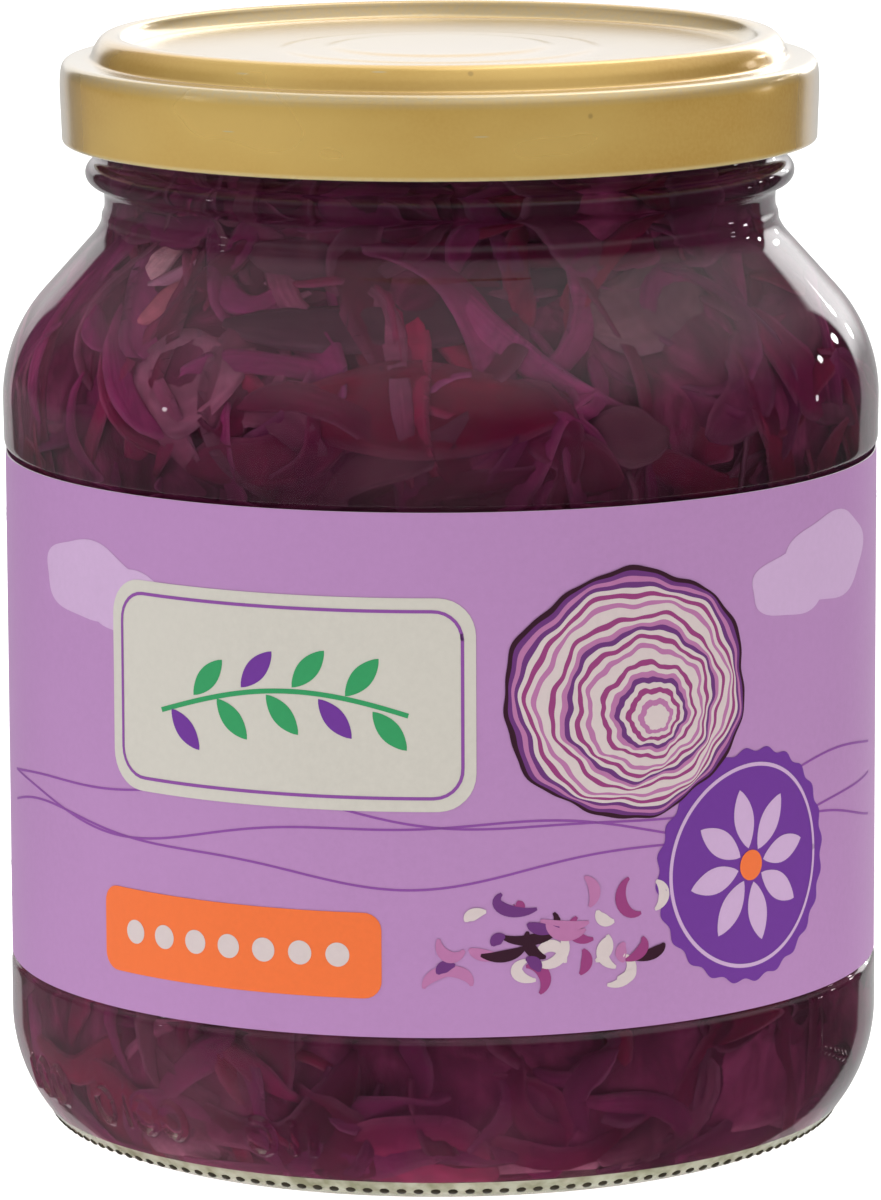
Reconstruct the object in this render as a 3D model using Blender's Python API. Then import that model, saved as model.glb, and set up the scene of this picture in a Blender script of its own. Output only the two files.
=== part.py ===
"""A small twist-off glass jar of shredded red cabbage, with its gold lid and its wrap-around paper label.

Metres, +Z up. The jar stands on z = 0 with its axis on Z, and its front is towards -Y.
Four pieces: the hollow glass jar, the pressed metal lid, the label strip whose ends lap at the back,
and the cabbage, a packed core with the shreds that show at the glass fused on.
"""

import math
import random

import bmesh
import bpy
from mathutils import Vector

MM = 0.001
SEGMENTS = 48  # sides of every turned piece

# The glass body
BODY_RADIUS = 40.55 * MM
SHOULDER_BULGE_RADIUS = 40.67 * MM
LABEL_PANEL_RADIUS = 40.1 * MM
LABEL_PANEL_LOW, LABEL_PANEL_HIGH = 15.8 * MM, 63.9 * MM
PANEL_STEP = 0.25 * MM  # height over which the panel's edge slopes
HEEL_ARC, HEEL_TOP = 14.3 * MM, 10.8 * MM
HEEL_CORNER = ((35.4 * MM, 0.3 * MM), (36.5 * MM, 1.05 * MM))
FOOT_OUTER, FOOT_INNER = 34.5 * MM, 31.2 * MM
PUSH_UP = ((0.0, 2.6 * MM), (18 * MM, 2.2 * MM), (28.4 * MM, 1.2 * MM))
WALL = 2.3 * MM
FLOOR_TOP = 5.4 * MM
FLOOR_EDGE_RADIUS, FLOOR_EDGE_TOP = 28 * MM, 4.9 * MM
INNER_HEEL_TOP = 14 * MM

# The shoulder: a convex arc, a straight cone and a concave arc into the neck
SHOULDER_ARC, SHOULDER_START = 14.5 * MM, 68.25 * MM
SHOULDER_SLOPE = math.radians(42)
NECK_RADIUS = 31.05 * MM
NECK_FILLET = 5 * MM
BEAD_CENTRE, BEAD_ROUND, BEAD_RADIUS = 89.2 * MM, 1.15 * MM, 32.8 * MM
FINISH_RADIUS = 31.3 * MM
MOUTH_TOP = 99.7 * MM
RIM_ROUND = 0.5 * MM

# The lid
LID_LOW = 92 * MM
LID_SHEET = 0.4 * MM
SKIRT_RADIUS = 35.1 * MM
SKIRT_TAPER = 0.2 * MM
SKIRT_TOP = 98 * MM
LID_SHOULDER = 99.7 * MM
LID_BEAD_TOP, LID_BEAD_RADIUS = 101.95 * MM, 30 * MM
PANEL_TOP = 100.4 * MM
BUTTON_TOP = 100.75 * MM
CURL_ROUND = 0.8 * MM

# The label
LABEL_LOW, LABEL_HIGH = 16.2 * MM, 63.5 * MM
LABEL_RADIUS, PAPER = 40.42 * MM, 0.16 * MM
LAP_LENGTH, LAP_RAMP, LAP_LIFT = 9 * MM, 8 * MM, 0.3 * MM

# The cabbage
GLASS_GAP = 0.45 * MM  # between the shreds and the glass
CORE_DEPTH = 0.95 * MM  # from the shreds' outer faces down to the core
CORE_HEIGHTS = (8.2, 10.5, 13.5, 20, 40, 60, 68, 72.5, 77, 81.5, 86)  # mm, where the core's side has a point
CORE_CHAMFER = 3.2 * MM  # at the core's foot
PACK_TOP = 93.5 * MM
PACK_CROWN = ((0, 2.2 * MM), (6 * MM, 1 * MM))  # inwards from the neck, and down from the top
# Heights in mm, and how many shreds lie round each
SHRED_ROWS = ((9, 8), (13, 10), (24, 7), (35, 7), (46, 7), (57, 7), (66, 11), (73, 10), (79, 8), (85, 6))
ROW_SCATTER = 2.5  # mm up or down
SHRED_POINTS = 5
SHRED_LENGTHS, SHRED_WIDTHS, SHRED_THICK = (12 * MM, 24 * MM), (2.4 * MM, 4.6 * MM), 1.1 * MM
SHRED_LEAN, SHRED_BOW = 1.25, 0.45  # radians from level, and of bend between middle and end
SHRED_DEPTH, END_DIP = 0.35 * MM, 1.5 * MM  # deepest middle, and how far the ends sink into the core
END_WIDTH = 0.55  # of the width in the middle
PACK_LOW = 5.9 * MM  # the lowest edge of a shred
SEED = 16


def arc(centre_r, centre_z, radius, start, end, count):
    """Points (r, z) on an arc between two angles in radians, measured from +r towards +z, ends included."""
    angles = [start + (end - start) * i / (count - 1) for i in range(count)]
    return [(centre_r + radius * math.cos(a), centre_z + radius * math.sin(a)) for a in angles]


def shoulder(offset, arc_points, fillet_points):
    """The shoulder and neck outline, offset inwards by a wall. It ends on the neck."""
    slope = SHOULDER_SLOPE
    arc_centre = SHOULDER_BULGE_RADIUS - SHOULDER_ARC
    points = arc(arc_centre, SHOULDER_START, SHOULDER_ARC - offset, 0, slope, arc_points)
    # The concave fillet's centre lies outside the neck, and its arc meets the cone at the slope.
    fillet = NECK_FILLET + offset
    fillet_r = NECK_RADIUS + NECK_FILLET
    cone_start_r = arc_centre + SHOULDER_ARC * math.cos(slope)
    cone_start_z = SHOULDER_START + SHOULDER_ARC * math.sin(slope)
    cone_end_r = fillet_r - NECK_FILLET * math.cos(slope)
    cone_end_z = cone_start_z + (cone_start_r - cone_end_r) / math.tan(slope)
    fillet_z = cone_end_z + NECK_FILLET * math.sin(slope)
    points += arc(fillet_r, fillet_z, fillet, math.pi + slope, math.pi, fillet_points)
    return points


def glass_outside():
    """Outline of the outer surface, from the centre of the base to the mouth."""
    heel_centre = BODY_RADIUS - HEEL_ARC
    heel_start = -math.asin((HEEL_TOP - HEEL_CORNER[-1][1]) / HEEL_ARC)
    points = list(PUSH_UP) + [(FOOT_INNER, 0), (FOOT_OUTER, 0)] + [HEEL_CORNER[0]]
    points += arc(heel_centre, HEEL_TOP, HEEL_ARC, heel_start, 0, 5)
    points += [
        (BODY_RADIUS, LABEL_PANEL_LOW - PANEL_STEP),
        (LABEL_PANEL_RADIUS, LABEL_PANEL_LOW),
        (LABEL_PANEL_RADIUS, LABEL_PANEL_HIGH),
        (SHOULDER_BULGE_RADIUS, LABEL_PANEL_HIGH + PANEL_STEP),
    ]
    points += shoulder(0, 6, 4)
    points.append((NECK_RADIUS, BEAD_CENTRE - BEAD_ROUND - 0.7 * MM))
    points += arc(BEAD_RADIUS - BEAD_ROUND, BEAD_CENTRE, BEAD_ROUND, -math.pi / 2, math.pi / 2, 6)
    points += [(FINISH_RADIUS, BEAD_CENTRE + BEAD_ROUND + 0.2 * MM)]
    points += arc(FINISH_RADIUS - RIM_ROUND, MOUTH_TOP - RIM_ROUND, RIM_ROUND, 0, math.pi / 2, 3)
    return points


def glass_inside():
    """Outline of the inner surface, from the mouth down to the centre of the inner floor."""
    inner_radius = BODY_RADIUS - WALL
    mouth_radius = NECK_RADIUS - WALL
    down = arc(mouth_radius + RIM_ROUND, MOUTH_TOP - RIM_ROUND, RIM_ROUND, math.pi / 2, math.pi, 3)
    down += reversed(shoulder(WALL, 5, 4))
    # The inner heel is a quarter of an ellipse.
    heel_height = INNER_HEEL_TOP - FLOOR_EDGE_TOP
    heel_width = inner_radius - FLOOR_EDGE_RADIUS
    for i in range(5):
        a = i / 4 * math.pi / 2
        r = FLOOR_EDGE_RADIUS + heel_width * math.cos(a)
        down.append((r, INNER_HEEL_TOP - heel_height * math.sin(a)))
    down.append((0, FLOOR_TOP))
    return down


def lid_outside():
    """Outline of the lid's upper side, from its centre out to the curl at the skirt's foot."""
    low_radius = SKIRT_RADIUS - SKIRT_TAPER
    bead = LID_BEAD_RADIUS
    return [
        (0, BUTTON_TOP),
        (9.5 * MM, BUTTON_TOP),
        (10.5 * MM, BUTTON_TOP - 0.2 * MM),
        (14 * MM, BUTTON_TOP - 0.2 * MM),
        (14.8 * MM, PANEL_TOP),
        (bead - 1.6 * MM, PANEL_TOP),
        (bead - 0.9 * MM, PANEL_TOP + 0.6 * MM),
        (bead - 0.5 * MM, LID_BEAD_TOP - 0.2 * MM),
        (bead, LID_BEAD_TOP),
        (bead + 0.8 * MM, LID_BEAD_TOP - 0.15 * MM),
        (bead + 1.5 * MM, LID_BEAD_TOP - 0.6 * MM),
        (bead + 2.2 * MM, LID_SHOULDER + 0.25 * MM),
        (bead + 2.6 * MM, LID_SHOULDER),
        (34.2 * MM, LID_SHOULDER - 0.1 * MM),
        (34.9 * MM, LID_SHOULDER - 0.6 * MM),
        (SKIRT_RADIUS, SKIRT_TOP),
        (low_radius, LID_LOW + CURL_ROUND),
        (low_radius - 0.25 * MM, LID_LOW + 0.2 * MM),
        (low_radius - 0.8 * MM, LID_LOW),
    ]


def lid_inside():
    """Outline of the lid's underside, from the curl back up to its centre."""
    low_radius = SKIRT_RADIUS - SKIRT_TAPER
    bead = LID_BEAD_RADIUS
    return [
        (low_radius - 1.4 * MM, LID_LOW + 0.25 * MM),
        (low_radius - 1.5 * MM, LID_LOW + 0.9 * MM),
        (low_radius - 0.7 * MM, LID_LOW + 1.6 * MM),
        (SKIRT_RADIUS - LID_SHEET, SKIRT_TOP - 0.1 * MM),
        (34.4 * MM, LID_SHOULDER - 0.85 * MM),
        (33.9 * MM, LID_SHOULDER - 0.5 * MM),
        (bead + 2.3 * MM, LID_SHOULDER - LID_SHEET),
        (bead + 1.8 * MM, LID_SHOULDER + 0.15 * MM),
        (bead + 1.1 * MM, LID_BEAD_TOP - 0.85 * MM),
        (bead + 0.1 * MM, LID_BEAD_TOP - LID_SHEET),
        (bead - 0.5 * MM, PANEL_TOP + 0.45 * MM),
        (bead - 1.4 * MM, PANEL_TOP - LID_SHEET),
        (0, PANEL_TOP - LID_SHEET + 0.1 * MM),
    ]


def make_material(name, colour, roughness, metallic=0.0, transmission=0.0):
    material = bpy.data.materials.new(name)
    material.use_nodes = True
    shader = material.node_tree.nodes["Principled BSDF"]
    shader.inputs["Base Color"].default_value = (*colour, 1)
    shader.inputs["Roughness"].default_value = roughness
    shader.inputs["Metallic"].default_value = metallic
    shader.inputs["Transmission Weight"].default_value = transmission
    return material


def add_object(name, bm, material):
    """Turns a bmesh into an object in the scene, with its faces pointing out and its round sides smooth."""
    bmesh.ops.recalc_face_normals(bm, faces=bm.faces)
    mesh = bpy.data.meshes.new(name)
    bm.to_mesh(mesh)
    bm.free()
    mesh.shade_smooth()
    mesh.set_sharp_from_angle(angle=math.radians(35))
    obj = bpy.data.objects.new(name, mesh)
    obj.data.materials.append(material)
    bpy.context.scene.collection.objects.link(obj)
    return obj


def turned(points):
    """A bmesh of the solid that an outline (r, z) with both ends on the axis makes as it turns about Z."""
    bm = bmesh.new()
    verts = [bm.verts.new((r, 0, z)) for r, z in points]
    edges = [bm.edges.new(pair) for pair in zip(verts, verts[1:])]
    bmesh.ops.spin(bm, geom=verts + edges, cent=(0, 0, 0), axis=(0, 0, 1), angle=2 * math.pi,
                   steps=SEGMENTS, use_duplicate=False)
    bmesh.ops.remove_doubles(bm, verts=bm.verts, dist=0.001 * MM)
    return bm


def make_glass():
    clear = make_material("clear_glass", (0.9, 0.95, 0.92), 0.05, transmission=1.0)
    return add_object("glass_jar", turned(glass_outside() + glass_inside()), clear)


def make_lid():
    gold = make_material("gold_lacquer", (0.72, 0.5, 0.2), 0.3, metallic=1.0)
    return add_object("lid", turned(lid_outside() + lid_inside()), gold)


def sweep(bm, rings):
    """Closes a row of equal rings of points into one solid: sides between the rings and a cap at each end."""
    loops = [[bm.verts.new(point) for point in ring] for ring in rings]
    size = len(loops[0])
    for a, b in zip(loops, loops[1:]):
        for i in range(size):
            j = (i + 1) % size
            bm.faces.new((a[i], a[j], b[j], b[i]))
    bm.faces.new(loops[0])
    bm.faces.new(loops[-1])


def make_label():
    """The paper strip: one turn round the glass from the back, whose last stretch lifts over its first."""
    lilac = make_material("label_paper", (0.47, 0.25, 0.52), 0.55)
    turn = 2 * math.pi
    lap = LAP_LENGTH / LABEL_RADIUS
    ramp = LAP_RAMP / LABEL_RADIUS
    step = turn / SEGMENTS
    angles = [i * step for i in range(SEGMENTS - 1)]
    angles += [turn - ramp - 0.2 * lap, turn - 0.2 * lap, turn, turn + 0.5 * lap, turn + lap]
    angles = sorted(a for a in set(angles) if not turn - ramp - 0.2 * lap < a < turn - 0.2 * lap)
    rings = []
    for a in angles:
        lifted = min(max((a - (turn - ramp - 0.2 * lap)) / ramp, 0), 1)
        inner = LABEL_RADIUS + LAP_LIFT * lifted
        direction = math.pi / 2 + a
        x, y = math.cos(direction), math.sin(direction)
        rings.append([
            (inner * x, inner * y, LABEL_LOW),
            ((inner + PAPER) * x, (inner + PAPER) * y, LABEL_LOW),
            ((inner + PAPER) * x, (inner + PAPER) * y, LABEL_HIGH),
            (inner * x, inner * y, LABEL_HIGH),
        ])
    bm = bmesh.new()
    sweep(bm, rings)
    return add_object("label", bm, lilac)


def inner_radius_at(z, outline):
    """Radius of the glass's inner surface at a height, read from its outline."""
    for (r0, z0), (r1, z1) in zip(outline, outline[1:]):
        if z1 <= z <= z0 and z0 > z1:
            return r0 + (r1 - r0) * (z0 - z) / (z0 - z1)
    return outline[0][0]


def core_outline(outline):
    """The packed core: the glass's inner outline, drawn in by the core's depth and cut off at the top."""
    floor = FLOOR_TOP + CORE_DEPTH
    side = [(inner_radius_at(h * MM, outline) - CORE_DEPTH - GLASS_GAP, h * MM) for h in CORE_HEIGHTS]
    neck = side[-1][0]
    bottom = [(0, floor), (side[0][0] - CORE_CHAMFER, floor)]
    crown = [(neck - inwards, PACK_TOP - down) for inwards, down in PACK_CROWN]
    return bottom + side + crown + [(0, crown[-1][1])]


def overreach(points, outline):
    """How far the points must move in for all of them to clear the glass."""
    return max(max(math.hypot(p.x, p.y) - inner_radius_at(p.z, outline) + GLASS_GAP for p in points), 0)


def shred(draw, height, around, outline):
    """One ribbon of cabbage at the glass: a flat strip along the wall that leans, bends and dips in."""
    length = draw.uniform(*SHRED_LENGTHS)
    width = draw.uniform(*SHRED_WIDTHS)
    lean = draw.uniform(-SHRED_LEAN, SHRED_LEAN)
    bow = draw.uniform(-SHRED_BOW, SHRED_BOW)
    depth = draw.uniform(0, SHRED_DEPTH)
    nudge = 1 * MM  # up and down, to read the wall's slope
    rings = []
    for i in range(SHRED_POINTS):
        t = i / (SHRED_POINTS - 1) - 0.5
        heading = lean + bow * 2 * t
        z = height * MM + length * t * math.sin(lean) + length * bow * (0.25 - t * t)
        z = min(max(z, PACK_LOW + width / 2), PACK_TOP - width / 2)
        wall = inner_radius_at(z, outline)
        dip = (abs(2 * t) ** 3) * END_DIP
        radius = wall - GLASS_GAP - SHRED_THICK / 2 - depth - dip
        direction = around + length * t * math.cos(lean) / wall
        out = Vector((math.cos(direction), math.sin(direction), 0))
        along = Vector((-math.sin(direction), math.cos(direction), 0))
        # The wall leans in at the shoulder and heel, so the ribbon's face leans with it.
        rise = inner_radius_at(z + nudge, outline) - inner_radius_at(z - nudge, outline)
        up = (Vector((0, 0, 2 * nudge)) + out * rise).normalized()
        face = along.cross(up)
        if face.dot(out) < 0:
            face = -face
        across = (up * math.cos(heading) - along * math.sin(heading)).normalized()
        centre = out * radius + Vector((0, 0, z))
        taper = END_WIDTH + (1 - END_WIDTH) * math.cos(math.pi * t)
        side, half = across * (width / 2 * taper), face * (SHRED_THICK / 2)
        ring = [centre + corner for corner in (-side - half, side - half, side + half, half - side)]
        rings.append([p - out * overreach(ring, outline) for p in ring])
    # A long side can still cut across the neck's inward curve, so its two cross-sections draw back together.
    for k in range(SHRED_POINTS - 1):
        pairs = list(zip(rings[k], rings[k + 1]))
        excess = max(overreach([p.lerp(q, part) for p, q in pairs], outline) for part in (0.25, 0.5, 0.75))
        for j in (k, k + 1):
            rings[j] = [p - Vector((p.x, p.y, 0)).normalized() * excess for p in rings[j]]
    return rings


def make_cabbage():
    """The core with its shreds, joined by one Boolean union on a collection, which is then applied."""
    purple = make_material("red_cabbage", (0.11, 0.015, 0.06), 0.4)
    outline = glass_inside()
    core = add_object("cabbage", turned(core_outline(outline)), purple)
    shreds = bpy.data.collections.new("shreds")
    bpy.context.scene.collection.children.link(shreds)
    draw = random.Random(SEED)
    for height, count in SHRED_ROWS:
        start = draw.uniform(0, 2 * math.pi)
        for k in range(count):
            around = start + (k + draw.uniform(-0.25, 0.25)) * 2 * math.pi / count
            bm = bmesh.new()
            sweep(bm, shred(draw, height + draw.uniform(-ROW_SCATTER, ROW_SCATTER), around, outline))
            piece = add_object(f"shred_{height}_{k}", bm, purple)
            bpy.context.scene.collection.objects.unlink(piece)
            shreds.objects.link(piece)
    union = core.modifiers.new("join_shreds", "BOOLEAN")
    union.operation = "UNION"
    union.operand_type = "COLLECTION"
    union.collection = shreds
    union.solver = "EXACT"
    bpy.context.view_layer.update()
    evaluated = core.evaluated_get(bpy.context.evaluated_depsgraph_get())
    joined = bpy.data.meshes.new_from_object(evaluated)
    core.modifiers.clear()
    core.data = joined
    for piece in list(shreds.objects):
        bpy.data.objects.remove(piece)
    bpy.data.collections.remove(shreds)
    return core


def keep_outer_skin(obj):
    """Keeps the largest closed skin of a mesh, so that sealed hollows fill up and loose scraps go."""
    bm = bmesh.new()
    bm.from_mesh(obj.data)
    left, skins = set(bm.faces), []
    while left:
        skin, to_visit = set(), [left.pop()]
        while to_visit:
            face = to_visit.pop()
            skin.add(face)
            for other in {f for edge in face.edges for f in edge.link_faces} & left:
                left.discard(other)
                to_visit.append(other)
        skins.append(skin)
    skins.sort(key=len)
    for skin in skins[:-1]:
        bmesh.ops.delete(bm, geom=list(skin), context="FACES")
    bm.to_mesh(obj.data)
    bm.free()


def main():
    for obj in list(bpy.data.objects):
        bpy.data.objects.remove(obj)
    make_glass()
    make_lid()
    make_label()
    keep_outer_skin(make_cabbage())


main()
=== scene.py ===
"""A jar of shredded red cabbage: clear glass, a gold twist-off lid, a printed paper label and wet shreds in
liquid.

Laid out as a Blender add-on and run as a script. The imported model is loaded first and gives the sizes.
Everything is in metres, Z up, the jar's axis on Z and its front towards -Y.
"""

import math

import bpy
import numpy as np
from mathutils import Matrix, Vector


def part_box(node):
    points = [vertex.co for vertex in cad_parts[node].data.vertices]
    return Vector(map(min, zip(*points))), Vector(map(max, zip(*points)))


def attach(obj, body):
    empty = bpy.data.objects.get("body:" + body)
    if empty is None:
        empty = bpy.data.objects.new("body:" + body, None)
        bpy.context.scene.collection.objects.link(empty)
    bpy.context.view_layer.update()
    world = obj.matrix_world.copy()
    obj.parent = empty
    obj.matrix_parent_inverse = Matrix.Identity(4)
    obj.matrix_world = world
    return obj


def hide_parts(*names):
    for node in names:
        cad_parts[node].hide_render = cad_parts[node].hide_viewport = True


bl_info = {
    "name": "Jar of red cabbage",
    "version": (1, 0, 0),
    "blender": (4, 5, 0),
    "location": "3D View > Sidebar > Jar",
    "description": "Makes a filled glass jar with its lid, its label and the cabbage inside",
    "category": "Add Mesh",
}

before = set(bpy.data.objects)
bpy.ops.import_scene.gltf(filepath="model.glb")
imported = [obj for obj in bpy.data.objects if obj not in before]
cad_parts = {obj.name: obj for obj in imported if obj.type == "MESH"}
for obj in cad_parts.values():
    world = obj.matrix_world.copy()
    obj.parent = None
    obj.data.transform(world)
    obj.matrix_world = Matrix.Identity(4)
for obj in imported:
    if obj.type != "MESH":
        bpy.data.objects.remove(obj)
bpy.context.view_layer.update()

MM = 0.001
LID_BOX_LOW, LID_BOX_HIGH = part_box("lid")
LABEL_BOX_LOW, LABEL_BOX_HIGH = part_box("label")
BODY_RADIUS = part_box("glass_jar")[1].x
SKIRT_RADIUS = LID_BOX_HIGH.x
FLOOR_EDGE = 31.5 * MM  # where the inner floor meets the heel's curve
HEEL_RADIUS = 40.55 * MM  # the wall just over the heel
NECK_RADIUS = 31.05 * MM
PANEL_RADIUS = 40.1 * MM  # the wall behind the label
SHOULDER_START = 68.25 * MM
MOUTH = 99.7 * MM
FILL_LOW, FILL_HIGH = 2.6 * MM, 96 * MM  # the heights that the contents keep between
FRONT = -math.pi / 2  # the angle of the jar's front, from +X


class JarSizes(bpy.types.PropertyGroup):
    wall: bpy.props.FloatProperty(
        name="Wall", description="Thickness of the glass", default=2.3 * MM, unit="LENGTH")
    shred_count: bpy.props.IntProperty(
        name="Shreds", description="How many shreds lie between the glass and the core", default=1300, min=100)
    shred_width: bpy.props.FloatProperty(
        name="Shred width", description="Width of a middling shred", default=2.5 * MM, unit="LENGTH")
    shred_length: bpy.props.FloatProperty(
        name="Shred length", description="Length of a middling shred", default=14 * MM, unit="LENGTH")
    layer_depth: bpy.props.FloatProperty(
        name="Depth of shreds", description="How far in from the glass the shreds lie", default=3.5 * MM,
        unit="LENGTH")
    paper: bpy.props.FloatProperty(
        name="Paper", description="Thickness of the label", default=0.14 * MM, unit="LENGTH")


class JarColours(bpy.types.PropertyGroup):
    lid: bpy.props.FloatVectorProperty(
        name="Lid", description="Lacquer of the lid", subtype="COLOR", default=(0.84, 0.56, 0.16))
    paper: bpy.props.FloatVectorProperty(
        name="Label", description="Ground of the label", subtype="COLOR", default=(0.47, 0.24, 0.505))
    plaque: bpy.props.FloatVectorProperty(
        name="Plaque", description="Pale panel on the label", subtype="COLOR", default=(0.62, 0.59, 0.53))
    tab: bpy.props.FloatVectorProperty(
        name="Tab", description="Orange tab on the label", subtype="COLOR", default=(0.9, 0.17, 0.035))
    disc: bpy.props.FloatVectorProperty(
        name="Disc", description="Violet disc on the label", subtype="COLOR", default=(0.16, 0.03, 0.32))
    leaf: bpy.props.FloatVectorProperty(
        name="Leaf", description="Green of the sprig on the label", subtype="COLOR", default=(0.03, 0.34, 0.12))


def sizes():
    """The settings for sizes."""
    return bpy.context.scene.jar_sizes


def colours():
    """The settings for colours."""
    return bpy.context.scene.jar_colours


# Shapes

def arc(centre_r, centre_z, radius, start, end, count):
    """Points (r, z) on an arc: the centre plus the radius times the cosine and sine of even angles in
    degrees."""
    angles = np.radians(np.linspace(start, end, count))
    return np.stack([centre_r + radius * np.cos(angles), centre_z + radius * np.sin(angles)], axis=1)


def rounded(points, radii, steps):
    """An outline with its corners rounded: at each one a parabola runs between the two points on its sides
    that lie the corner's radius away, or half a side where that is less."""
    points = np.asarray(points, float)
    out = [points[:1]]
    t = np.linspace(0, 1, steps)[:, None]
    for before, corner, after, radius in zip(points, points[1:], points[2:], radii):
        back, ahead = before - corner, after - corner
        reach_back = min(radius, np.linalg.norm(back) * 0.499)
        reach_ahead = min(radius, np.linalg.norm(ahead) * 0.499)
        a = corner + back / np.linalg.norm(back) * reach_back
        b = corner + ahead / np.linalg.norm(ahead) * reach_ahead
        out.append((1 - t) ** 2 * a + 2 * t * (1 - t) * corner + t ** 2 * b)
    out.append(points[-1:])
    return np.concatenate(out)


def shoulder(offset, arc_points, fillet_points):
    """The shoulder: a convex arc from upright to the cone's lean, the cone, and a concave arc back to upright
    at the neck. A wall's inner side is the same outline with its radii changed by the offset."""
    lean = 42
    sine, cosine = math.sin(math.radians(lean)), math.cos(math.radians(lean))
    convex, concave, start = 14.5 * MM, 5 * MM, SHOULDER_START
    centre = BODY_RADIUS - convex
    inward = centre + convex * cosine - (NECK_RADIUS + concave - concave * cosine)
    fillet_z = start + convex * sine + inward * cosine / sine + concave * sine
    return np.concatenate([
        arc(centre, start, convex - offset, 0, lean, arc_points),
        arc(NECK_RADIUS + concave, fillet_z, concave + offset, 180 + lean, 180, fillet_points),
    ])


def glass_outside():
    """Outline of the outer surface from the centre of the base to the mouth: a shallow push-up, the bearing
    ring, the heel's arc, the wall with its label panel set back, the shoulder, a faint crease, the neck and
    the bead."""
    foot = np.array([(0, 2.5), (18, 2.2), (28.4, 1.3), (31.2, 0.05), (32.8, 0), (34.5, 0), (36.5, 1.05)]) * MM
    foot = rounded(foot, np.array([8, 4, 1, 0.6, 0.9]) * MM, 6)[:-1]
    heel = arc(26.25 * MM, 10.8 * MM, 14.3 * MM, -43.0, 0, 22)
    wall = rounded(
        [heel[-1], (HEEL_RADIUS, 15.5 * MM), (PANEL_RADIUS, 15.95 * MM), (PANEL_RADIUS, 63.75 * MM),
         (BODY_RADIUS - 0.05 * MM, 64.2 * MM), (BODY_RADIUS, SHOULDER_START)],
        [0.5 * MM, 0.35 * MM, 0.35 * MM, 0.6 * MM], 5)[1:-1]
    cone = shoulder(0, 24, 18)
    neck = rounded(
        [cone[-1], (NECK_RADIUS, 86.9 * MM), (31.1 * MM, 87.5 * MM), (31.7 * MM, 88.05 * MM)],
        [0.6 * MM, 0.5 * MM], 4)[1:]
    bead = arc(31.65 * MM, 89.2 * MM, 1.15 * MM, -84, 80, 14)
    finish = rounded(
        [bead[-1], (31.55 * MM, 90.6 * MM), (31.3 * MM, 91.2 * MM), (31.3 * MM, MOUTH), (30 * MM, MOUTH)],
        [0.3 * MM, 0.3 * MM, 0.5 * MM], 4)[1:]
    line = np.concatenate([foot, heel, wall, cone, neck, bead, finish])
    crease_height, crease_half, crease_out = 85.3 * MM, 0.4 * MM, 0.14 * MM
    line[:, 0] += crease_out * np.exp(-((line[:, 1] - crease_height) / crease_half) ** 2)
    return line


def glass_inside():
    """Outline of the inner surface from the mouth down to the centre of the inner floor: the outer shoulder
    moved in by the wall, a straight side, a quarter of an ellipse into the floor and the floor's slight
    rise."""
    wall = sizes().wall
    radius, edge = HEEL_RADIUS - wall, FLOOR_EDGE
    bore = NECK_RADIUS - wall
    mouth = rounded([(30 * MM, MOUTH), (bore, MOUTH), (bore, 97 * MM)], [0.5 * MM], 4)[1:]
    turn = np.radians(np.linspace(0, 90, 16))[:, None]
    heel = np.concatenate([edge + (radius - edge) * np.cos(turn), (13 - 11 * np.sin(turn)) * MM], axis=1)
    floor = np.array([(28, 2.6), (24, 3.4), (18, 4.2), (10, 4.9), (0, 5.2)]) * MM
    return np.concatenate([mouth, shoulder(wall, 12, 8)[::-1], heel, floor])


def wall_radius(z):
    """Radius of the glass's inner surface at heights z, read from its outline from the floor's edge up."""
    line = glass_inside()[::-1]
    line = line[np.argmin(np.abs(line[:, 0] - FLOOR_EDGE)):]
    order = np.argsort(line[:, 1])
    return np.interp(z, line[order, 1], line[order, 0])


def lengths_along(line):
    """The length of a line from its start to each of its points."""
    return np.concatenate([[0], np.cumsum(np.linalg.norm(np.diff(line, axis=0), axis=1))])


def points_at(line, places):
    """The points of a line at the given lengths from its start."""
    length = lengths_along(line)
    return np.stack([np.interp(places, length, line[:, 0]), np.interp(places, length, line[:, 1])], axis=1)


def grid_faces(rows, columns, close_rows=False, close_columns=False):
    """Corner numbers of a grid's quads. Each runs from its point to the next column, the next row and back."""
    r = np.arange(rows if close_rows else rows - 1)[:, None]
    c = np.arange(columns if close_columns else columns - 1)[None, :]
    nr, nc = (r + 1) % rows, (c + 1) % columns
    quads = [r * columns + c, r * columns + nc, nr * columns + nc, nr * columns + c]
    return np.stack(quads, axis=-1).reshape(-1, 4)


def make_object(name, points, faces, materials, slots=None, sharp=40):
    """A smooth mesh object at the origin from arrays of points and faces. slots gives each face's material."""
    mesh = bpy.data.meshes.new(name)
    mesh.from_pydata(points.reshape(-1, 3).tolist(), [], [list(f) for f in faces])
    for material in materials:
        mesh.materials.append(material)
    if slots is not None:
        mesh.polygons.foreach_set("material_index", np.asarray(slots, np.int32))
    mesh.shade_smooth()
    if sharp:
        mesh.set_sharp_from_angle(angle=math.radians(sharp))
    mesh.update()
    obj = bpy.data.objects.new(name, mesh)
    bpy.context.scene.collection.objects.link(obj)
    return obj


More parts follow.
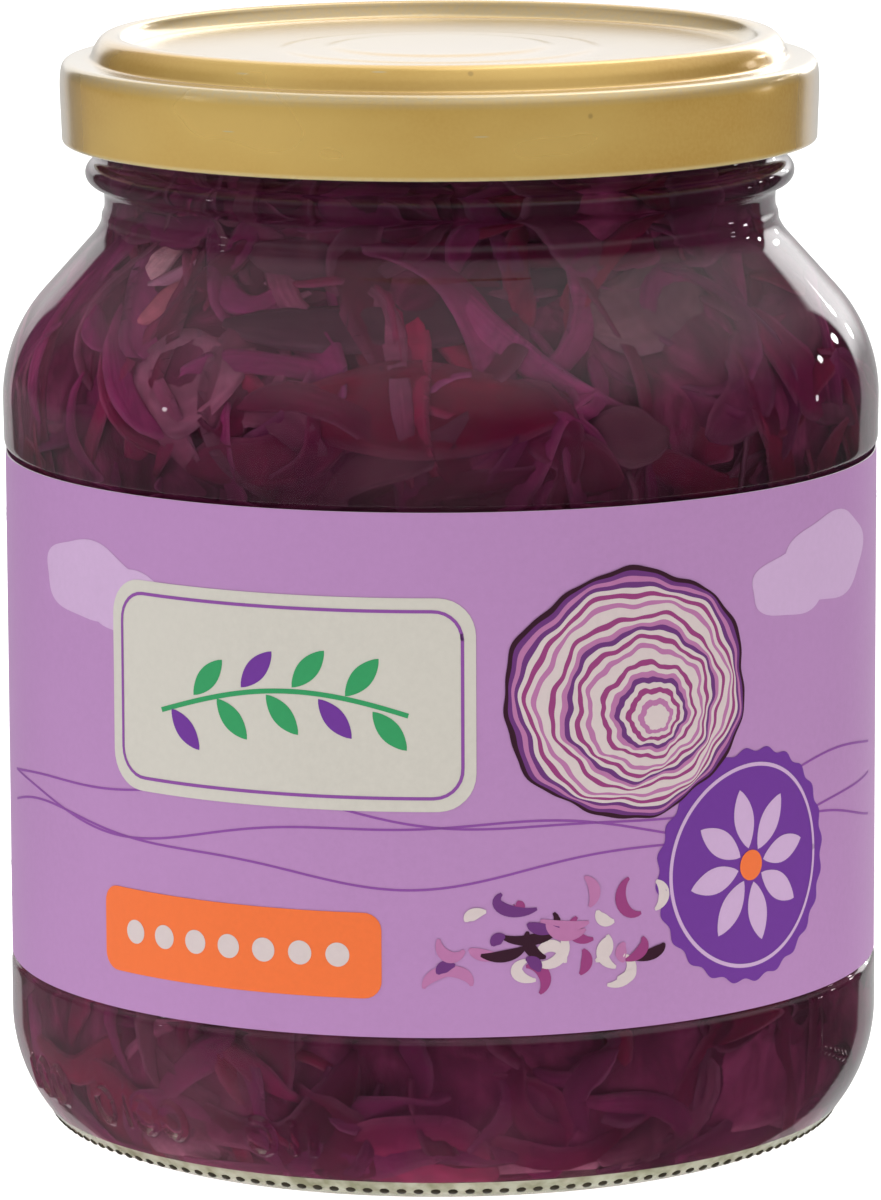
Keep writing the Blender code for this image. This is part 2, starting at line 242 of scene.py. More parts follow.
def revolved(outline, angles, relief=None):
    """Points and faces of a surface of revolution: each point is the outline's radius at each angle, and its
    height. Outline points on the axis become one pole each. relief adds a height along the outline's
    normal."""
    r, z = outline[:, 0], outline[:, 1]
    if relief is not None:
        slope = np.gradient(outline, axis=0)
        length = np.hypot(slope[:, 0], slope[:, 1])
        raise_by = relief(z[:, None], angles[None, :])
        r = r[:, None] + slope[:, 1:] / length[:, None] * raise_by
        z = z[:, None] - slope[:, :1] / length[:, None] * raise_by
    else:
        r, z = np.repeat(r[:, None], len(angles), 1), np.repeat(z[:, None], len(angles), 1)
    first, last = outline[0, 0] < 1e-9, outline[-1, 0] < 1e-9
    body = slice(1 if first else 0, -1 if last else None)
    grid = np.stack([r * np.cos(angles), r * np.sin(angles), z], axis=-1)[body]
    rows, columns = grid.shape[:2]
    closed = not (first or last)
    faces = grid_faces(rows, columns, close_rows=closed, close_columns=True).tolist()
    points = grid.reshape(-1, 3)
    column = np.arange(columns)
    if first:
        faces += np.stack([np.full(columns, len(points)), (column + 1) % columns, column], axis=1).tolist()
        points = np.concatenate([points, [[0, 0, outline[0, 1]]]])
    if last:
        base = (rows - 1) * columns
        ends = [base + column, base + (column + 1) % columns, np.full(columns, len(points))]
        faces += np.stack(ends, axis=1).tolist()
        points = np.concatenate([points, [[0, 0, outline[-1, 1]]]])
    return points, faces


def even_angles(count):
    """Angles once round, evenly spaced."""
    return np.arange(count) * 2 * np.pi / count


# Finishes

def start_material(name):
    """A new material, its node tree and its Principled shader."""
    material = bpy.data.materials.new(name)
    material.use_nodes = True
    tree = material.node_tree
    return material, tree, tree.nodes["Principled BSDF"]


def fill(tree, made, **inputs):
    """Sets a node's inputs to a value or to another node's socket. They are named by their socket, with _ for
    a space, or by i and their number."""
    for key, value in inputs.items():
        by_number = key[0] == "i" and key[1:].isdigit()
        socket = made.inputs[int(key[1:])] if by_number else made.inputs[key.replace("_", " ")]
        if isinstance(value, bpy.types.NodeSocket):
            tree.links.new(value, socket)
        else:
            socket.default_value = value


def node(tree, kind, settings=None, **inputs):
    """Adds a node with its settings and inputs."""
    made = tree.nodes.new(kind)
    for key, value in (settings or {}).items():
        setattr(made, key, value)
    fill(tree, made, **inputs)
    return made


def object_place(tree, scale=(1, 1, 1)):
    """The point's place on the object, in metres, stretched by the scale."""
    place = node(tree, "ShaderNodeTexCoord")
    return node(tree, "ShaderNodeMapping", Vector=place.outputs["Object"], Scale=scale).outputs["Vector"]


def axes(tree, vector):
    """A vector's three numbers, by the names X, Y and Z."""
    return node(tree, "ShaderNodeSeparateXYZ", Vector=vector).outputs


def noise(tree, place, scale, detail, rough=0.5, twist=0.0):
    """Cloudy noise between 0 and 1. A twist draws it out into swirls."""
    made = node(tree, "ShaderNodeTexNoise", Vector=place, Scale=scale, Detail=detail, Roughness=rough,
                Distortion=twist)
    return made.outputs["Fac"]


def cells(tree, place, scale):
    """The distance to the nearest of many points strewn about."""
    return node(tree, "ShaderNodeTexVoronoi", Vector=place, Scale=scale).outputs["Distance"]


def ramp(tree, value, stops):
    """A colour ramp over a value, with stops of (position, grey or colour)."""
    made = node(tree, "ShaderNodeValToRGB", Fac=value)
    elements = made.color_ramp.elements
    for i, (position, colour) in enumerate(stops):
        element = elements[i] if i < 2 else elements.new(position)
        element.position = position
        element.color = (colour,) * 3 + (1,) if np.isscalar(colour) else (*colour, 1)
    return made.outputs["Color"]


def faded(tree, value, low, high, start=0.0, end=1.0, kind="LINEAR"):
    """Goes from start to end while the value goes from low to high, and stays there beyond them."""
    made = node(tree, "ShaderNodeMapRange", {"interpolation_type": kind}, Value=value, From_Min=low,
                From_Max=high, To_Min=start, To_Max=end)
    return made.outputs["Result"]


def mixed(tree, factor, a, b, blend="MIX"):
    """Two colours mixed by a factor. Plain colours are given as three numbers."""
    a, b = (colour if isinstance(colour, bpy.types.NodeSocket) else (*colour, 1) for colour in (a, b))
    made = node(tree, "ShaderNodeMix", {"data_type": "RGBA", "blend_type": blend}, i0=factor, i6=a, i7=b)
    return made.outputs[2]


def maths(tree, operation, a, b=0.0):
    """The result of a sum or other operation on two values."""
    return node(tree, "ShaderNodeMath", {"operation": operation}, i0=a, i1=b).outputs[0]


def product(tree, a, b):
    """Two values multiplied."""
    return maths(tree, "MULTIPLY", a, b)


def bump(tree, height, strength, distance):
    """A fine relief for the shading, from a height."""
    return node(tree, "ShaderNodeBump", Height=height, Strength=strength, Distance=distance).outputs["Normal"]


def scaled(colour, factor):
    """A colour made lighter or darker, at most 1 in each part."""
    return tuple(min(c * factor, 1) for c in colour)


def let_light_through(tree, surface, tint):
    """Puts a clear shader in the place of the surface for shadow rays and for light scattered by dull
    surfaces, so that light reaches what is inside."""
    path = tree.nodes.new("ShaderNodeLightPath")
    clear = node(tree, "ShaderNodeBsdfTransparent", Color=(*tint, 1))
    for kind in ("Is Shadow Ray", "Is Diffuse Ray"):
        mix = node(tree, "ShaderNodeMixShader", i0=path.outputs[kind], i1=surface, i2=clear.outputs[0])
        surface = mix.outputs[0]
    tree.links.new(surface, tree.nodes["Material Output"].inputs["Surface"])


GLASS_IOR, LIQUID_IOR = 1.5, 1.34


def glass_finish():
    """Clear flint glass with a slow unevenness left by the mould."""
    material, tree, shader = start_material("clear_glass")
    slow = noise(tree, object_place(tree, (1, 1, 0.6)), 70, 1.2)
    fill(tree, shader, Base_Color=(0.965, 0.99, 0.975, 1), Roughness=0.0, IOR=GLASS_IOR,
         Transmission_Weight=1.0, Normal=bump(tree, slow, 0.5, 0.0012))
    let_light_through(tree, shader.outputs[0], (0.93, 0.95, 0.94))
    return material


def wetted_finish():
    """The glass's inner side, where light passes from the glass into the liquid: both bend it by nearly as
    much, so the index is the one over the other, and hardly anything is reflected. Its roughness stands for
    the cloudiness of the liquid: the deeper a shred lies, the softer it looks."""
    material, tree, shader = start_material("wetted_glass")
    tint = (0.99, 0.97, 0.98)
    fill(tree, shader, Base_Color=(*tint, 1), Roughness=0.22, IOR=GLASS_IOR / LIQUID_IOR,
         Transmission_Weight=1.0)
    let_light_through(tree, shader.outputs[0], tint)
    return material


def liquid_finish():
    """Thin purple pickling liquid with a cloudy film in soft patches along the glass, thicker low down, where
    it settles. The film's colour carries painted light and shade: paler towards the top, the bottom and the
    left, a painted shadow of the lid in the neck, and painted shade low down at the right. The wetted side of
    the glass does the bending, so the liquid's own surface has none."""
    material, tree, shader = start_material("purple_liquid")
    tint = (0.97, 0.90, 0.95)
    fill(tree, shader, Base_Color=(*tint, 1), Roughness=0.0, IOR=1.0, Transmission_Weight=1.0)
    place = object_place(tree)
    swirls = noise(tree, place, 95, 7, 0.62, 1.1)
    patches = noise(tree, object_place(tree, (1, 1, 1.4)), 48, 3, 0.5)
    side, height = axes(tree, place)["X"], axes(tree, place)["Z"]
    low_down = faded(tree, height, 22 * MM, 8 * MM, 0.0, 0.10)
    # Painted light and shade in the film's colour: paler towards the top, the bottom and the left, a painted
    # shadow of the lid above the shoulder, and painted shade low down at the right.
    level = maths(tree, "MAXIMUM", height, maths(tree, "SUBTRACT", 62 * MM, height))
    raised = maths(tree, "SUBTRACT", maths(tree, "SUBTRACT", level, 50 * MM), side)
    painted_lid_shadow = maths(tree, "MAXIMUM", maths(tree, "SUBTRACT", height, 82 * MM), 0.0)
    painted_shade_right = product(tree, product(tree, low_down, side), 45.0)
    dark = maths(tree, "ADD", product(tree, painted_lid_shadow, 35.0), painted_shade_right)
    patches = maths(tree, "SUBTRACT", maths(tree, "ADD", patches, product(tree, raised, 3.5)), dark)
    amount = ramp(tree, maths(tree, "ADD", swirls, low_down), [(0.36, 0.06), (0.66, 0.56), (0.9, 0.75)])
    colour = ramp(tree, patches, [
        (0.34, (0.028, 0.003, 0.011)), (0.5, (0.075, 0.010, 0.035)), (0.66, (0.12, 0.038, 0.062))])
    film = node(tree, "ShaderNodeBsdfDiffuse", Color=colour)
    cloudy = node(tree, "ShaderNodeMixShader", i0=amount, i1=shader.outputs[0], i2=film.outputs[0])
    let_light_through(tree, cloudy.outputs[0], tint)
    return material


def foot_finish():
    """The glass's thick foot, pale green: painted light for the floor's light seen through the thick glass,
    which turns green on its long way through it. Its mottle is wear that frosts it a little."""
    material, tree, shader = start_material("foot_glass")
    wear = noise(tree, object_place(tree), 500, 3)
    # Painted light: the pale greens stand for the floor's light seen through the thick foot.
    colour = ramp(tree, wear, [(0.36, (0.46, 0.48, 0.30)), (0.64, (0.82, 0.86, 0.66))])
    fill(tree, shader, Base_Color=colour, Roughness=0.12, IOR=GLASS_IOR, Transmission_Weight=0.5)
    let_light_through(tree, shader.outputs[0], (0.92, 0.94, 0.86))
    return material


def dots_finish():
    """The dots round the foot, dark olive where the glass turns the light away."""
    material, tree, shader = start_material("foot_dots")
    grain = noise(tree, object_place(tree), 900, 3)
    colour = ramp(tree, grain, [(0.3, (0.02, 0.015, 0.008)), (0.7, (0.055, 0.045, 0.028))])
    fill(tree, shader, Base_Color=colour, Roughness=0.3)
    return material


def shred_finish(name, gloss):
    """Wet cabbage: each shred has its own colour, with painted light and shade, in the tint attribute, fibres
    along it, slow blotches and a paler rim at each edge, painted light for light shining through the thin edge.
    The strip attribute holds the place across the shred, the place along it and the shred's number."""
    material, tree, shader = start_material(name)
    tint = node(tree, "ShaderNodeAttribute", {"attribute_name": "tint"}).outputs["Color"]
    strip = node(tree, "ShaderNodeAttribute", {"attribute_name": "strip"}).outputs["Vector"]
    along = node(tree, "ShaderNodeMapping", Vector=strip, Scale=(3.5, 90, 1)).outputs["Vector"]
    fibres = noise(tree, along, 1, 3)
    blotches = noise(tree, object_place(tree), 110, 3, 0.55)
    fibrous = ramp(tree, fibres, [(0.35, 0.0), (0.68, 1.0)])
    colour = mixed(tree, fibrous, (0.86, 0.83, 0.85), (1.12, 1.16, 1.13))
    colour = mixed(tree, 1.0, tint, colour, "MULTIPLY")
    blotchy = ramp(tree, blotches, [(0.35, 0.0), (0.7, 1.0)])
    patchy = mixed(tree, blotchy, (0.74, 0.68, 0.78), (1.1, 1.05, 1.08))
    colour = mixed(tree, 1.0, colour, patchy, "MULTIPLY")
    # Painted light: a paler rim along each edge, for light shining through the thin edge.
    across = maths(tree, "ABSOLUTE", axes(tree, strip)["X"])
    colour = mixed(tree, faded(tree, across, 0.72, 1.0, 0.0, 0.16), colour, (0.42, 0.16, 0.28))
    shader.subsurface_method = "BURLEY"
    fill(tree, shader, Base_Color=colour, Roughness=gloss, Specular_IOR_Level=0.0,
         Subsurface_Weight=0.6, Subsurface_Radius=(1.0, 0.4, 0.6), Subsurface_Scale=1.2 * MM,
         Normal=bump(tree, fibres, 0.35, 0.15 * MM))
    return material


def core_finish():
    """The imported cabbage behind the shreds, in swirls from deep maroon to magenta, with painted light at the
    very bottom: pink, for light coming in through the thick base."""
    material, tree, shader = start_material("packed_cabbage")
    patches = noise(tree, object_place(tree, (1, 1, 0.6)), 170, 5, 0.6, 1.2)
    colour = ramp(tree, patches, [
        (0.34, (0.04, 0.005, 0.016)), (0.5, (0.09, 0.012, 0.038)), (0.66, (0.17, 0.028, 0.08))])
    height = axes(tree, object_place(tree))["Z"]
    # Painted light: pink at the very bottom, for light coming in through the thick base.
    colour = mixed(tree, faded(tree, height, 5.5 * MM, 3 * MM), colour, (0.42, 0.15, 0.25))
    fill(tree, shader, Base_Color=colour, Roughness=0.5, Specular_IOR_Level=0.0,
         Normal=bump(tree, patches, 0.6, 1 * MM))
    return material


def lid_finish():
    """Gold lacquer over tinplate: a satin metal under a thin clear coat, with fine flakes, slow changes of tone
    and a few worn specks. Painted highlights make it paler on the shoulder, the sunk panel's wall and the
    curled foot. At a glancing angle it mirrors the light without its colour."""
    material, tree, shader = start_material("gold_lacquer")
    base = tuple(colours().lid)
    deep = tuple(np.array(base) * (0.92, 0.81, 0.63))
    place = object_place(tree)
    flakes = noise(tree, place, 2600, 2, 0.6)
    slow = noise(tree, object_place(tree, (1, 1, 2.5)), 28, 3, 0.5)
    colour = mixed(tree, ramp(tree, slow, [(0.38, 0.0), (0.62, 1.0)]), deep, scaled(base, 1.1))
    height = axes(tree, place)["Z"]
    foot, top = LID_BOX_LOW.z, LID_BOX_HIGH.z
    # Painted highlight: a pale line along the curled foot.
    colour = mixed(tree, faded(tree, height, foot + 0.55 * MM, foot + 0.15 * MM), colour, (1.0, 0.86, 0.46))
    # Painted highlight: paler rings on the shoulder and the sunk panel's wall, near the top.
    upper = faded(tree, height, top - 3.6 * MM, top - 2.6 * MM, 0.0, 0.75)
    colour = mixed(tree, product(tree, painted_highlight_rings(tree, place), upper), colour, (0.70, 0.61, 0.42))
    colour = mixed(tree, ramp(tree, flakes, [(0.35, 0.0), (0.65, 0.35)]), colour, scaled(base, 1.12))
    specks = ramp(tree, cells(tree, place, 95), [(0.016, 0.4), (0.03, 0.0)])
    colour = mixed(tree, specks, colour, (0.2, 0.13, 0.06))
    scratches = ramp(tree, cells(tree, object_place(tree, (1, 1, 9)), 60), [(0.03, 0.6), (0.05, 0.0)])
    colour = mixed(tree, scratches, colour, (0.8, 0.7, 0.45))
    fill(tree, shader, Base_Color=colour, Metallic=0.45, Coat_Weight=1.0, Coat_Roughness=0.16,
         Roughness=ramp(tree, slow, [(0.3, 0.21), (0.7, 0.29)]), Normal=bump(tree, flakes, 0.15, 0.04 * MM))
    glancing = node(tree, "ShaderNodeLayerWeight", Blend=0.5).outputs["Facing"]
    mirror = node(tree, "ShaderNodeBsdfGlossy", Color=(0.95, 0.93, 0.90, 1), Roughness=0.22)
    both = node(tree, "ShaderNodeMixShader", i0=ramp(tree, glancing, [(0.62, 0.0), (0.9, 0.6)]),
                i1=shader.outputs[0], i2=mirror.outputs[0])
    tree.links.new(both.outputs[0], tree.nodes["Material Output"].inputs["Surface"])
    return material


def painted_highlight_rings(tree, place):
    """1 at the distances from the axis of the panel's wall and the shoulder, where the painted highlight lies,
    and
    0 elsewhere. The ramp runs to 40 mm."""
    level = node(tree, "ShaderNodeVectorMath", {"operation": "MULTIPLY"}, i0=place, i1=(25, 25, 0)).outputs[0]
    reach = node(tree, "ShaderNodeVectorMath", {"operation": "LENGTH"}, i0=level).outputs["Value"]
    return ramp(tree, reach, [
        (0.705, 0.0), (0.715, 1.0), (0.735, 1.0), (0.745, 0.0), (0.81, 0.0), (0.825, 1.0)])


def ink_finish(name, colour, gloss=0.42):
    """Ink on paper: the print's colour with the paper's fibres showing faintly through."""
    material, tree, shader = start_material(name)
    colour = tuple(colour)
    fibres = noise(tree, object_place(tree), 1500, 5, 0.65)
    patches = noise(tree, object_place(tree), 60, 2, 0.5)
    grain = ramp(tree, fibres, [(0.3, 0.0), (0.7, 1.0)])
    shade = mixed(tree, grain, scaled(colour, 0.955), scaled(colour, 1.02))
    shade = mixed(tree, ramp(tree, patches, [(0.3, 0.0), (0.7, 0.5)]), shade, scaled(colour, 1.03))
    fill(tree, shader, Base_Color=shade, Roughness=gloss, Specular_IOR_Level=0.35,
         Normal=bump(tree, fibres, 0.2, 0.05 * MM))
    return material


# The contents

def heap_colours(draw, count):
    """A colour for each shred: wine, purple, magenta, mauve and a few pale ones, each lighter or darker."""
    palette = np.array([
        (0.15, 0.015, 0.052), (0.18, 0.012, 0.044), (0.15, 0.020, 0.075), (0.19, 0.025, 0.092),
        (0.17, 0.045, 0.085), (0.12, 0.035, 0.060), (0.09, 0.009, 0.030), (0.36, 0.15, 0.22)])
    share = np.array([0.24, 0.12, 0.2, 0.16, 0.1, 0.08, 0.08, 0.02])
    picked = palette[draw.choice(len(palette), count, p=share)]
    return picked * np.exp(draw.normal(0, 0.18, (count, 1)))


def strips(draw, count, depth, width, length, thick, along, heights, bearings=None, leans=None):
    """Points of many strips at once, as (strip, along, round, xyz).

    A strip has its middle at a height and an angle and runs along the glass in a heading that turns from end
    to end. Where no bearings and leans are given, they are drawn at random. Its size varies at random too. Its
    distance from the glass is its own depth plus a dip at its ends. Its section is a flat hexagon that rolls
    about the path. Points that would reach the glass are drawn back to just inside it, so that the strip lies
    flat on it."""
    t = np.linspace(-0.5, 0.5, along)[None, :]
    one = (count, 1)
    loose = 1.0 if bearings is None else 0.15
    long = np.reshape(length, (-1, 1)) * np.exp(draw.normal(0, 0.3 * loose, one))
    wide = np.reshape(width, (-1, 1)) * np.exp(draw.normal(0, 0.28 * loose, one))
    lean = draw.uniform(-1.5, 1.5, one) if leans is None else leans[:, None]
    bend = draw.normal(0, 0.7 * loose, one)
    wobble, phase = draw.uniform(0.0, 0.35, one), draw.uniform(0, 2 * np.pi, one)
    heading = lean + bend * 2 * t + wobble * np.sin(7 * t + phase)
    step = long / (along - 1)
    run = np.cumsum(np.cos(heading), axis=1) * step
    rise = np.cumsum(np.sin(heading), axis=1) * step
    run -= run.mean(axis=1, keepdims=True)
    rise -= rise.mean(axis=1, keepdims=True)
    z = np.clip(heights[:, None] + rise, 2.9 * MM, 95 * MM)
    wall = wall_radius(z)
    own = draw.uniform(0, 1, one) ** 1.5 * np.reshape(depth, (-1, 1))
    dip = (0.6 * np.abs(2 * t) ** 3 * draw.uniform(0, 1, one) + 0.25 * np.sin(5 * t + phase)) * 2.2 * MM
    radius = wall - 0.35 * MM - own - np.maximum(dip, -own)
    start = draw.uniform(0, 2 * np.pi, one) if bearings is None else FRONT + np.radians(bearings[:, None])
    angle = start + run / wall
    out = np.stack([np.cos(angle), np.sin(angle), np.zeros_like(angle)], axis=-1)
    round_way = np.stack([-np.sin(angle), np.cos(angle), np.zeros_like(angle)], axis=-1)
    slope = (wall_radius(z + MM) - wall_radius(z - MM)) / (2 * MM)
    up = np.stack([slope * out[..., 0], slope * out[..., 1], np.ones_like(angle)], axis=-1)
    up /= np.linalg.norm(up, axis=-1, keepdims=True)
    face = np.cross(round_way, up)
    across = up * np.cos(heading)[..., None] - round_way * np.sin(heading)[..., None]
    roll = draw.normal(0, 0.45 * loose, one) + draw.normal(0, 0.6 * loose, one) * 2 * t
    side = across * np.cos(roll)[..., None] + face * np.sin(roll)[..., None]
    front = face * np.cos(roll)[..., None] - across * np.sin(roll)[..., None]
    taper = (1 - 0.85 * np.abs(2 * t) ** 3) * (1 + 0.12 * np.sin(9 * t + 2 * phase))
    half = (wide / 2 * taper)[..., None, None]
    section = np.array([(-1, 0), (-0.7, -1), (0.7, -1), (1, 0), (0.7, 1), (-0.7, 1)])
    cup = 0.25 * section[:, 0] ** 2 * MM
    outward = section[:, 1:] * thick / 2 - cup[:, None]
    offset = side[:, :, None] * half * section[:, :1] + front[:, :, None] * outward
    centre = out * radius[..., None] + np.stack([0 * z, 0 * z, z], axis=-1)
    points = centre[:, :, None] + offset
    points[..., 2] = np.clip(points[..., 2], FILL_LOW, FILL_HIGH)
    reach = np.hypot(points[..., 0], points[..., 1])
    limit = wall_radius(points[..., 2]) - 0.2 * MM
    points[..., :2] *= np.minimum(1, limit / reach)[..., None]
    number = np.arange(count)[:, None, None] * 7.3
    strip = np.stack(np.broadcast_arrays(section[:, 0], ((t + 0.5) * long)[:, :, None], number), axis=-1)
    return points, strip


def join_strips(points):
    """Points and faces of all strips, each closed with a cap at both ends."""
    count, along, around = points.shape[:3]
    tube = grid_faces(along, around, close_columns=True)
    each = np.arange(count)[:, None, None] * along * around
    sides = (tube[None] + each).reshape(-1, 4).tolist()
    cap = np.arange(around)[None, :] + np.arange(count)[:, None] * along * around
    ends = (cap[:, ::-1]).tolist() + (cap + (along - 1) * around).tolist()
    return points.reshape(-1, 3), sides + ends


def tint_points(obj, tints, points, strip):
    """Stores each strip's colour on all its points, and the points' places on the strip. Painted light and
    shade are
    multiplied into the colour: a painted shadow under the lid, painted shade next to the label, painted light
    at the very bottom and up and to the left, and painted shade low down at the right. It also loses a share of
    itself for each millimetre of depth in the liquid, green most: painted shade for the liquid's absorption."""
    z = points[..., 2]
    # Painted shade and light by height: a painted shadow under the lid, painted shade next to the label and
    # painted light at the very bottom.
    heights = (2.6, 3.4, 5, 16, 62, 68, 74, 80, 84, 88)
    shade = np.interp(z / MM, heights, (2.4, 1.8, 1.0, 0.85, 0.55, 0.55, 1.0, 1.0, 0.6, 0.3))
    # Painted light up and to the left.
    shade = shade * np.exp(7 * (np.minimum(z, 76 * MM) - 50 * MM - points[..., 0]))
    # Painted shade low down at the right.
    shade = shade * np.exp(-18 * np.maximum(points[..., 0], 0) * (z < 40 * MM))
    # Painted shade for the liquid's absorption: darker the deeper a point lies in it.
    depth = (wall_radius(z) - np.hypot(points[..., 0], points[..., 1])) / MM
    liquid_depth_shade = np.exp(-depth[..., None] * np.array([0.05, 0.15, 0.09]))
    colour = np.ones(points.shape[:3] + (4,))
    colour[..., :3] = tints[:, None, None] * shade[..., None] * liquid_depth_shade
    layer = obj.data.color_attributes.new("tint", "FLOAT_COLOR", "POINT")
    layer.data.foreach_set("color", colour.ravel())
    layer = obj.data.attributes.new("strip", "FLOAT_VECTOR", "POINT")
    layer.data.foreach_set("vector", strip.ravel())


def spread_heights(draw, count):
    """Heights for the strips: even over the glass's inner surface, on the shoulder as on the wall."""
    z = np.linspace(FILL_LOW, 93 * MM, 400)
    r = wall_radius(z)
    area = np.hypot(np.gradient(z), np.gradient(r)) * r
    return np.interp(draw.uniform(0, 1, count), np.cumsum(area) / area.sum(), z)


def make_shreds():
    """Narrow shreds at all depths between the glass and the core."""
    draw = np.random.default_rng(7)
    size = sizes()
    count = size.shred_count
    points, strip = strips(
        draw, count, size.layer_depth, size.shred_width, size.shred_length, thick=0.6 * MM, along=11,
        heights=spread_heights(draw, count))
    obj = make_object("shreds", *join_strips(points), [shred_finish("wet_shreds", 0.4)], sharp=None)
    tint_points(obj, heap_colours(draw, count), points, strip)
    return obj


# The big leaves at the front: bearing in degrees, height, length and width in millimetres, lean, colour
LEAVES = (
    (-3.0, 71.8, 28.0, 8.0, 0.04, (0.12, 0.005, 0.024)), (-4.0, 79.5, 34.0, 6.5, 0.12, (0.055, 0.023, 0.034)),
    (-38.0, 73.0, 15.0, 8.0, 0.5, (0.20, 0.07, 0.11)), (36.0, 80.0, 16.0, 9.0, 0.3, (0.17, 0.075, 0.095)),
    (-55.0, 82.0, 5.0, 3.6, 1.1, (0.50, 0.27, 0.29)), (-48.0, 79.0, 5.0, 3.2, 0.9, (0.36, 0.10, 0.13)),
    (25.0, 69.0, 10.0, 5.0, 0.1, (0.12, 0.05, 0.066)), (12.0, 67.0, 18.0, 6.0, -0.1, (0.10, 0.008, 0.03)),
    (-24.0, 67.5, 16.0, 5.0, 0.2, (0.12, 0.012, 0.04)), (58.0, 73.0, 12.0, 6.0, -0.9, (0.17, 0.014, 0.06)),
    (45.0, 72.0, 12.0, 6.0, 0.7, (0.14, 0.03, 0.07)), (-20.0, 84.0, 16.0, 6.0, 0.0, (0.10, 0.04, 0.06)))


def make_leaves():
    """Broader pieces of leaf among the shreds, as wide wavy strips: some placed at the front and the others at
    random."""
    draw = np.random.default_rng(21)
    bearings, heights, length, width, leans = np.array([leaf[:5] for leaf in LEAVES]).T
    placed = strips(
        draw, len(LEAVES), depth=0.3 * MM, width=width * MM, length=length * MM, thick=0.5 * MM, along=13,
        heights=heights * MM, bearings=bearings, leans=leans)
    count = 240
    loose = strips(
        draw, count, depth=2.5 * MM, width=5.5 * MM, length=15 * MM, thick=0.5 * MM, along=13,
        heights=spread_heights(draw, count))
    points, strip = [np.concatenate(pair) for pair in zip(placed, loose)]
    tints = np.concatenate([[leaf[5] for leaf in LEAVES], heap_colours(draw, count)])
    obj = make_object("leaf_pieces", *join_strips(points), [shred_finish("wet_leaf", 0.38)], sharp=None)
    tint_points(obj, tints, points, strip)
    return obj


def make_core():
    """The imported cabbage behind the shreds: the glass's inner outline drawn in, with a lumpy relief made of
    three crossed waves round and up the jar."""
    z = np.concatenate([np.arange(3.2, 12, 0.5), np.linspace(12, 92, 110)]) * MM
    side = np.stack([wall_radius(z) - 1.6 * MM, z], axis=1)
    bottom = np.array([(0, 5.8), (8, 5.5), (14, 5.2), (18, 4.8), (22, 4.3), (25, 3.9), (29, 3.3)]) * MM
    top = [(side[-1, 0] - 4 * MM, 93 * MM), (0, 93.2 * MM)]
    outline = np.concatenate([bottom, side, top])

    def lumps(height, angle):
        waves = np.sin(9 * angle + 210 * height) + np.sin(14 * angle - 330 * height + 1)
        return (waves + np.sin(5 * angle + 480 * height + 2)) * 0.4 * MM * (height > 5 * MM)

    return make_object("packed_core", *revolved(outline, even_angles(180), lumps), [core_finish()], sharp=None)


def make_liquid():
    """The liquid up to the lid, reaching a little way into the glass."""
    line = glass_inside()[::-1].copy()
    line = line[line[:, 1] < FILL_HIGH]
    slope = np.gradient(line, axis=0)
    length = np.hypot(slope[:, 0], slope[:, 1])
    grown = line + np.stack([slope[:, 1], -slope[:, 0]], axis=1) / length[:, None] * 0.15 * MM
    grown[0, 0] = 0
    level = FILL_HIGH + 0.5 * MM
    outline = np.concatenate([grown, [(grown[-1, 0] - 0.1 * MM, level), (0, level)]])
    return make_object("pickling_liquid", *revolved(outline, even_angles(192)), [liquid_finish()])


# The glass

MARKS_RADIUS = 38.5 * MM  # the heel's radius at the mould marks
MARK_HEIGHT, MARK_LINE = 0.46 * MM, 0.24 * MM

# Raised marks on the heel, in millimetres: the arc from the front, the height, and a ring's radius or 0
MARKS = (
    (-47.0, 7.0, 0.0), (-44.3, 7.0, 1.25), (-41.2, 7.0, 1.25), (-33.8, 6.6, 1.2), (-30.9, 6.6, 0.0),
    (-28.6, 6.6, 1.25), (-25.4, 6.6, 1.25), (-16.4, 6.3, 1.25), (-13.4, 6.3, 0.0), (-11.6, 6.3, 0.0))


def glass_relief(height, angle):
    """Mould marks on the heel, as a raised height: plain rings and upright bars at the left and a slanting row
    of dots at the right. Each is a smooth ridge that falls off with the distance from its line."""
    turn = (angle - FRONT + np.pi) % (2 * np.pi) - np.pi
    along = turn * MARKS_RADIUS
    up = height + 0 * turn

    def ridge(distance, half):
        return MARK_HEIGHT * np.exp(-(distance / half) ** 2)

    total = np.zeros_like(up)
    for across, level, radius in MARKS:
        side, rise = along - across * MM, up - level * MM
        if radius:
            total += ridge(np.hypot(side, rise * 0.75) - radius * MM, MARK_LINE)
        else:
            total += ridge(np.hypot(side, np.maximum(np.abs(rise) - 1.4 * MM, 0)), MARK_LINE)
    for k in range(7):
        total += ridge(np.hypot(along - (39 + 0.85 * k) * MM, up - (10.6 - 0.3 * k) * MM), 0.28 * MM)
    return total * ((height > 2 * MM) & (height < 14.5 * MM))


def make_glass():
    """The glass as one closed surface of revolution, outside and inside, with its columns closer where the
    mould marks are. Its faces outside, inside and at the foot have a finish each."""
    outside, inside = glass_outside(), glass_inside()
    fine = rounded_rows(outside)
    outline = np.concatenate([fine, inside[1:]])
    coarse = even_angles(160)
    marks = FRONT + np.radians(np.concatenate([np.arange(-72, -14, 0.3), np.arange(57, 69, 0.4)]))
    angles = np.unique(np.round(np.concatenate([coarse, marks % (2 * np.pi)]), 4))
    limit = len(fine)

    def only_outside(height, angle):
        relief = glass_relief(height, angle)
        relief[limit:] = 0
        return relief

    points, faces = revolved(outline, angles, only_outside)
    row = np.arange(1, len(outline) - 2)
    foot = (row < limit) & (outline[row + 1, 1] < 2.6 * MM)
    bands = np.where(row > limit, 1, np.where(foot, 2, 0))
    slots = np.concatenate([np.repeat(bands, len(angles)), np.full(len(angles), 2), np.ones(len(angles))])
    return make_object("jar_glass", points, faces, [glass_finish(), wetted_finish(), foot_finish()], slots)


